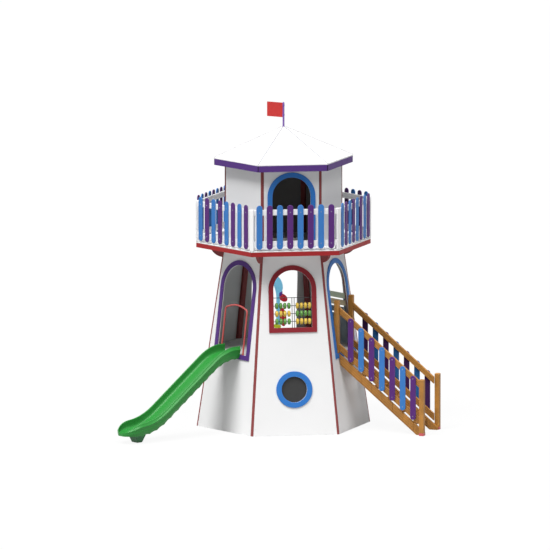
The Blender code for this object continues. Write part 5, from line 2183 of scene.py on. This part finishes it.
@dataclass
class Studio:
    """Pale floor, plain soft light and the camera at the picture's angle."""

    frame: TowerFrame
    right: Vector = Vector((0.988, -0.153, 0.0))
    up: Vector = Vector((0.0226, 0.146, 0.989))
    pixels: float = 550.0
    scale: float = 60.0
    axis_pixel: Point = (283.5, 423.55)
    distance: float = 240.0
    sensor: float = 36.0
    clip: Point = (10.0, 600.0)
    floor_half: float = 60.0
    floor_drop: float = 0.0005
    floor_grey: Colour = (0.46, 0.46, 0.46)
    floor_glow: float = 1.05
    floor_share: float = 0.88
    sky_levels: Point = (0.24, 1.0)
    white: Colour = (1.0, 1.0, 1.0)
    lamps: tuple[Lamp, ...] = (Lamp("key", 3.3, 28.0, -58.0, 61.0), Lamp("fill", 1.55, 34.0, 22.0, 60.0))

    def build(self) -> None:
        """Set up everything that isn't the tower."""
        self._floor()
        self._world()
        for lamp in self.lamps:
            lamp.place()
        self._camera()
        bpy.context.scene.view_settings.view_transform = "Standard"

    @staticmethod
    def _background(graph: Graph) -> Socket:
        """A value of 1 for rays that see the background directly, in gloss or through glass.

        Args:
            graph: The tree that asks.

        Returns:
            The value.
        """
        rays = graph.add("LightPath").outputs
        seen = graph.maths("MAXIMUM", rays["Is Camera Ray"], rays["Is Glossy Ray"])
        return graph.maths("MAXIMUM", seen, rays["Is Transmission Ray"])

    def _floor(self) -> None:
        """A wide pale floor that keeps a faint shadow."""
        bm = bmesh.new()
        bmesh.ops.create_grid(bm, x_segments=8, y_segments=8, size=self.floor_half)
        mesh = bpy.data.meshes.new("floor")
        bm.to_mesh(mesh)
        bm.free()
        floor = bpy.data.objects.new("floor", mesh)
        floor.location = (0.0, 0.0, -self.floor_drop)
        bpy.context.scene.collection.objects.link(floor)
        material = bpy.data.materials.new("pale_floor")
        material.use_nodes = True
        material.node_tree.nodes.clear()
        graph = Graph(material.node_tree)
        matt = graph.add("BsdfDiffuse", {"Color": self.floor_grey}).outputs[0]
        glow = graph.add("Emission", {"Color": self.white, "Strength": self.floor_glow}).outputs[0]
        share = graph.maths("MULTIPLY", self._background(graph), self.floor_share)
        surface = graph.add("MixShader", {"Fac": share, 1: matt, 2: glow}).outputs[0]
        graph.add("OutputMaterial", {"Surface": surface})
        mesh.materials.append(material)

    def _world(self) -> None:
        """Even pale sky, plain white where the camera sees it."""
        world = bpy.data.worlds.new("studio")
        world.use_nodes = True
        bpy.context.scene.world = world
        graph = Graph(world.node_tree)
        sky = graph.nodes["Background"].inputs
        graph.feed(sky["Color"], self.white)
        graph.feed(sky["Strength"], graph.ranged(self._background(graph), self.sky_levels))

    def _camera(self) -> None:
        """A long lens far back, so that parallels stay parallel as in the picture."""
        right = self.right.normalized()
        up = (self.up - self.up.dot(right) * right).normalized()
        back = right.cross(up).normalized()
        middle = self.pixels / 2.0
        aim = (self.frame.axis + right * ((middle - self.axis_pixel[0]) / self.scale)
               + up * ((self.axis_pixel[1] - middle) / self.scale))
        lens = bpy.data.cameras.new("camera")
        lens.sensor_width = self.sensor
        lens.lens = self.sensor * self.distance / (self.pixels / self.scale)
        lens.clip_start, lens.clip_end = self.clip
        camera = bpy.data.objects.new("camera", lens)
        camera.matrix_world = axes(right, up, back, aim + back * self.distance)
        bpy.context.scene.collection.objects.link(camera)
        bpy.context.scene.camera = camera


def tower_axis() -> Vector:
    """The tower's axis on the ground, read from the flag pole."""
    low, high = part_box("flag_pole")
    return Vector(((low.x + high.x) / 2.0, (low.y + high.y) / 2.0, 0.0))


def main() -> None:
    """Load the frame and dress every part of the tower in turn."""
    logging.basicConfig(level=logging.INFO, format="%(name)s %(message)s")
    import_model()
    frame = TowerFrame(tower_axis())
    assemblies = (LowerStorey(frame), Openings(frame), Abacus(frame), PodClimber(frame), Gallery(frame),
                  Cabin(frame), Roof(frame), Slide(frame), Stair(frame), Studio(frame))
    for assembly in assemblies:
        assembly.build()
        LOG.info("built %s", type(assembly).__name__)


if __name__ == "__main__":
    main()
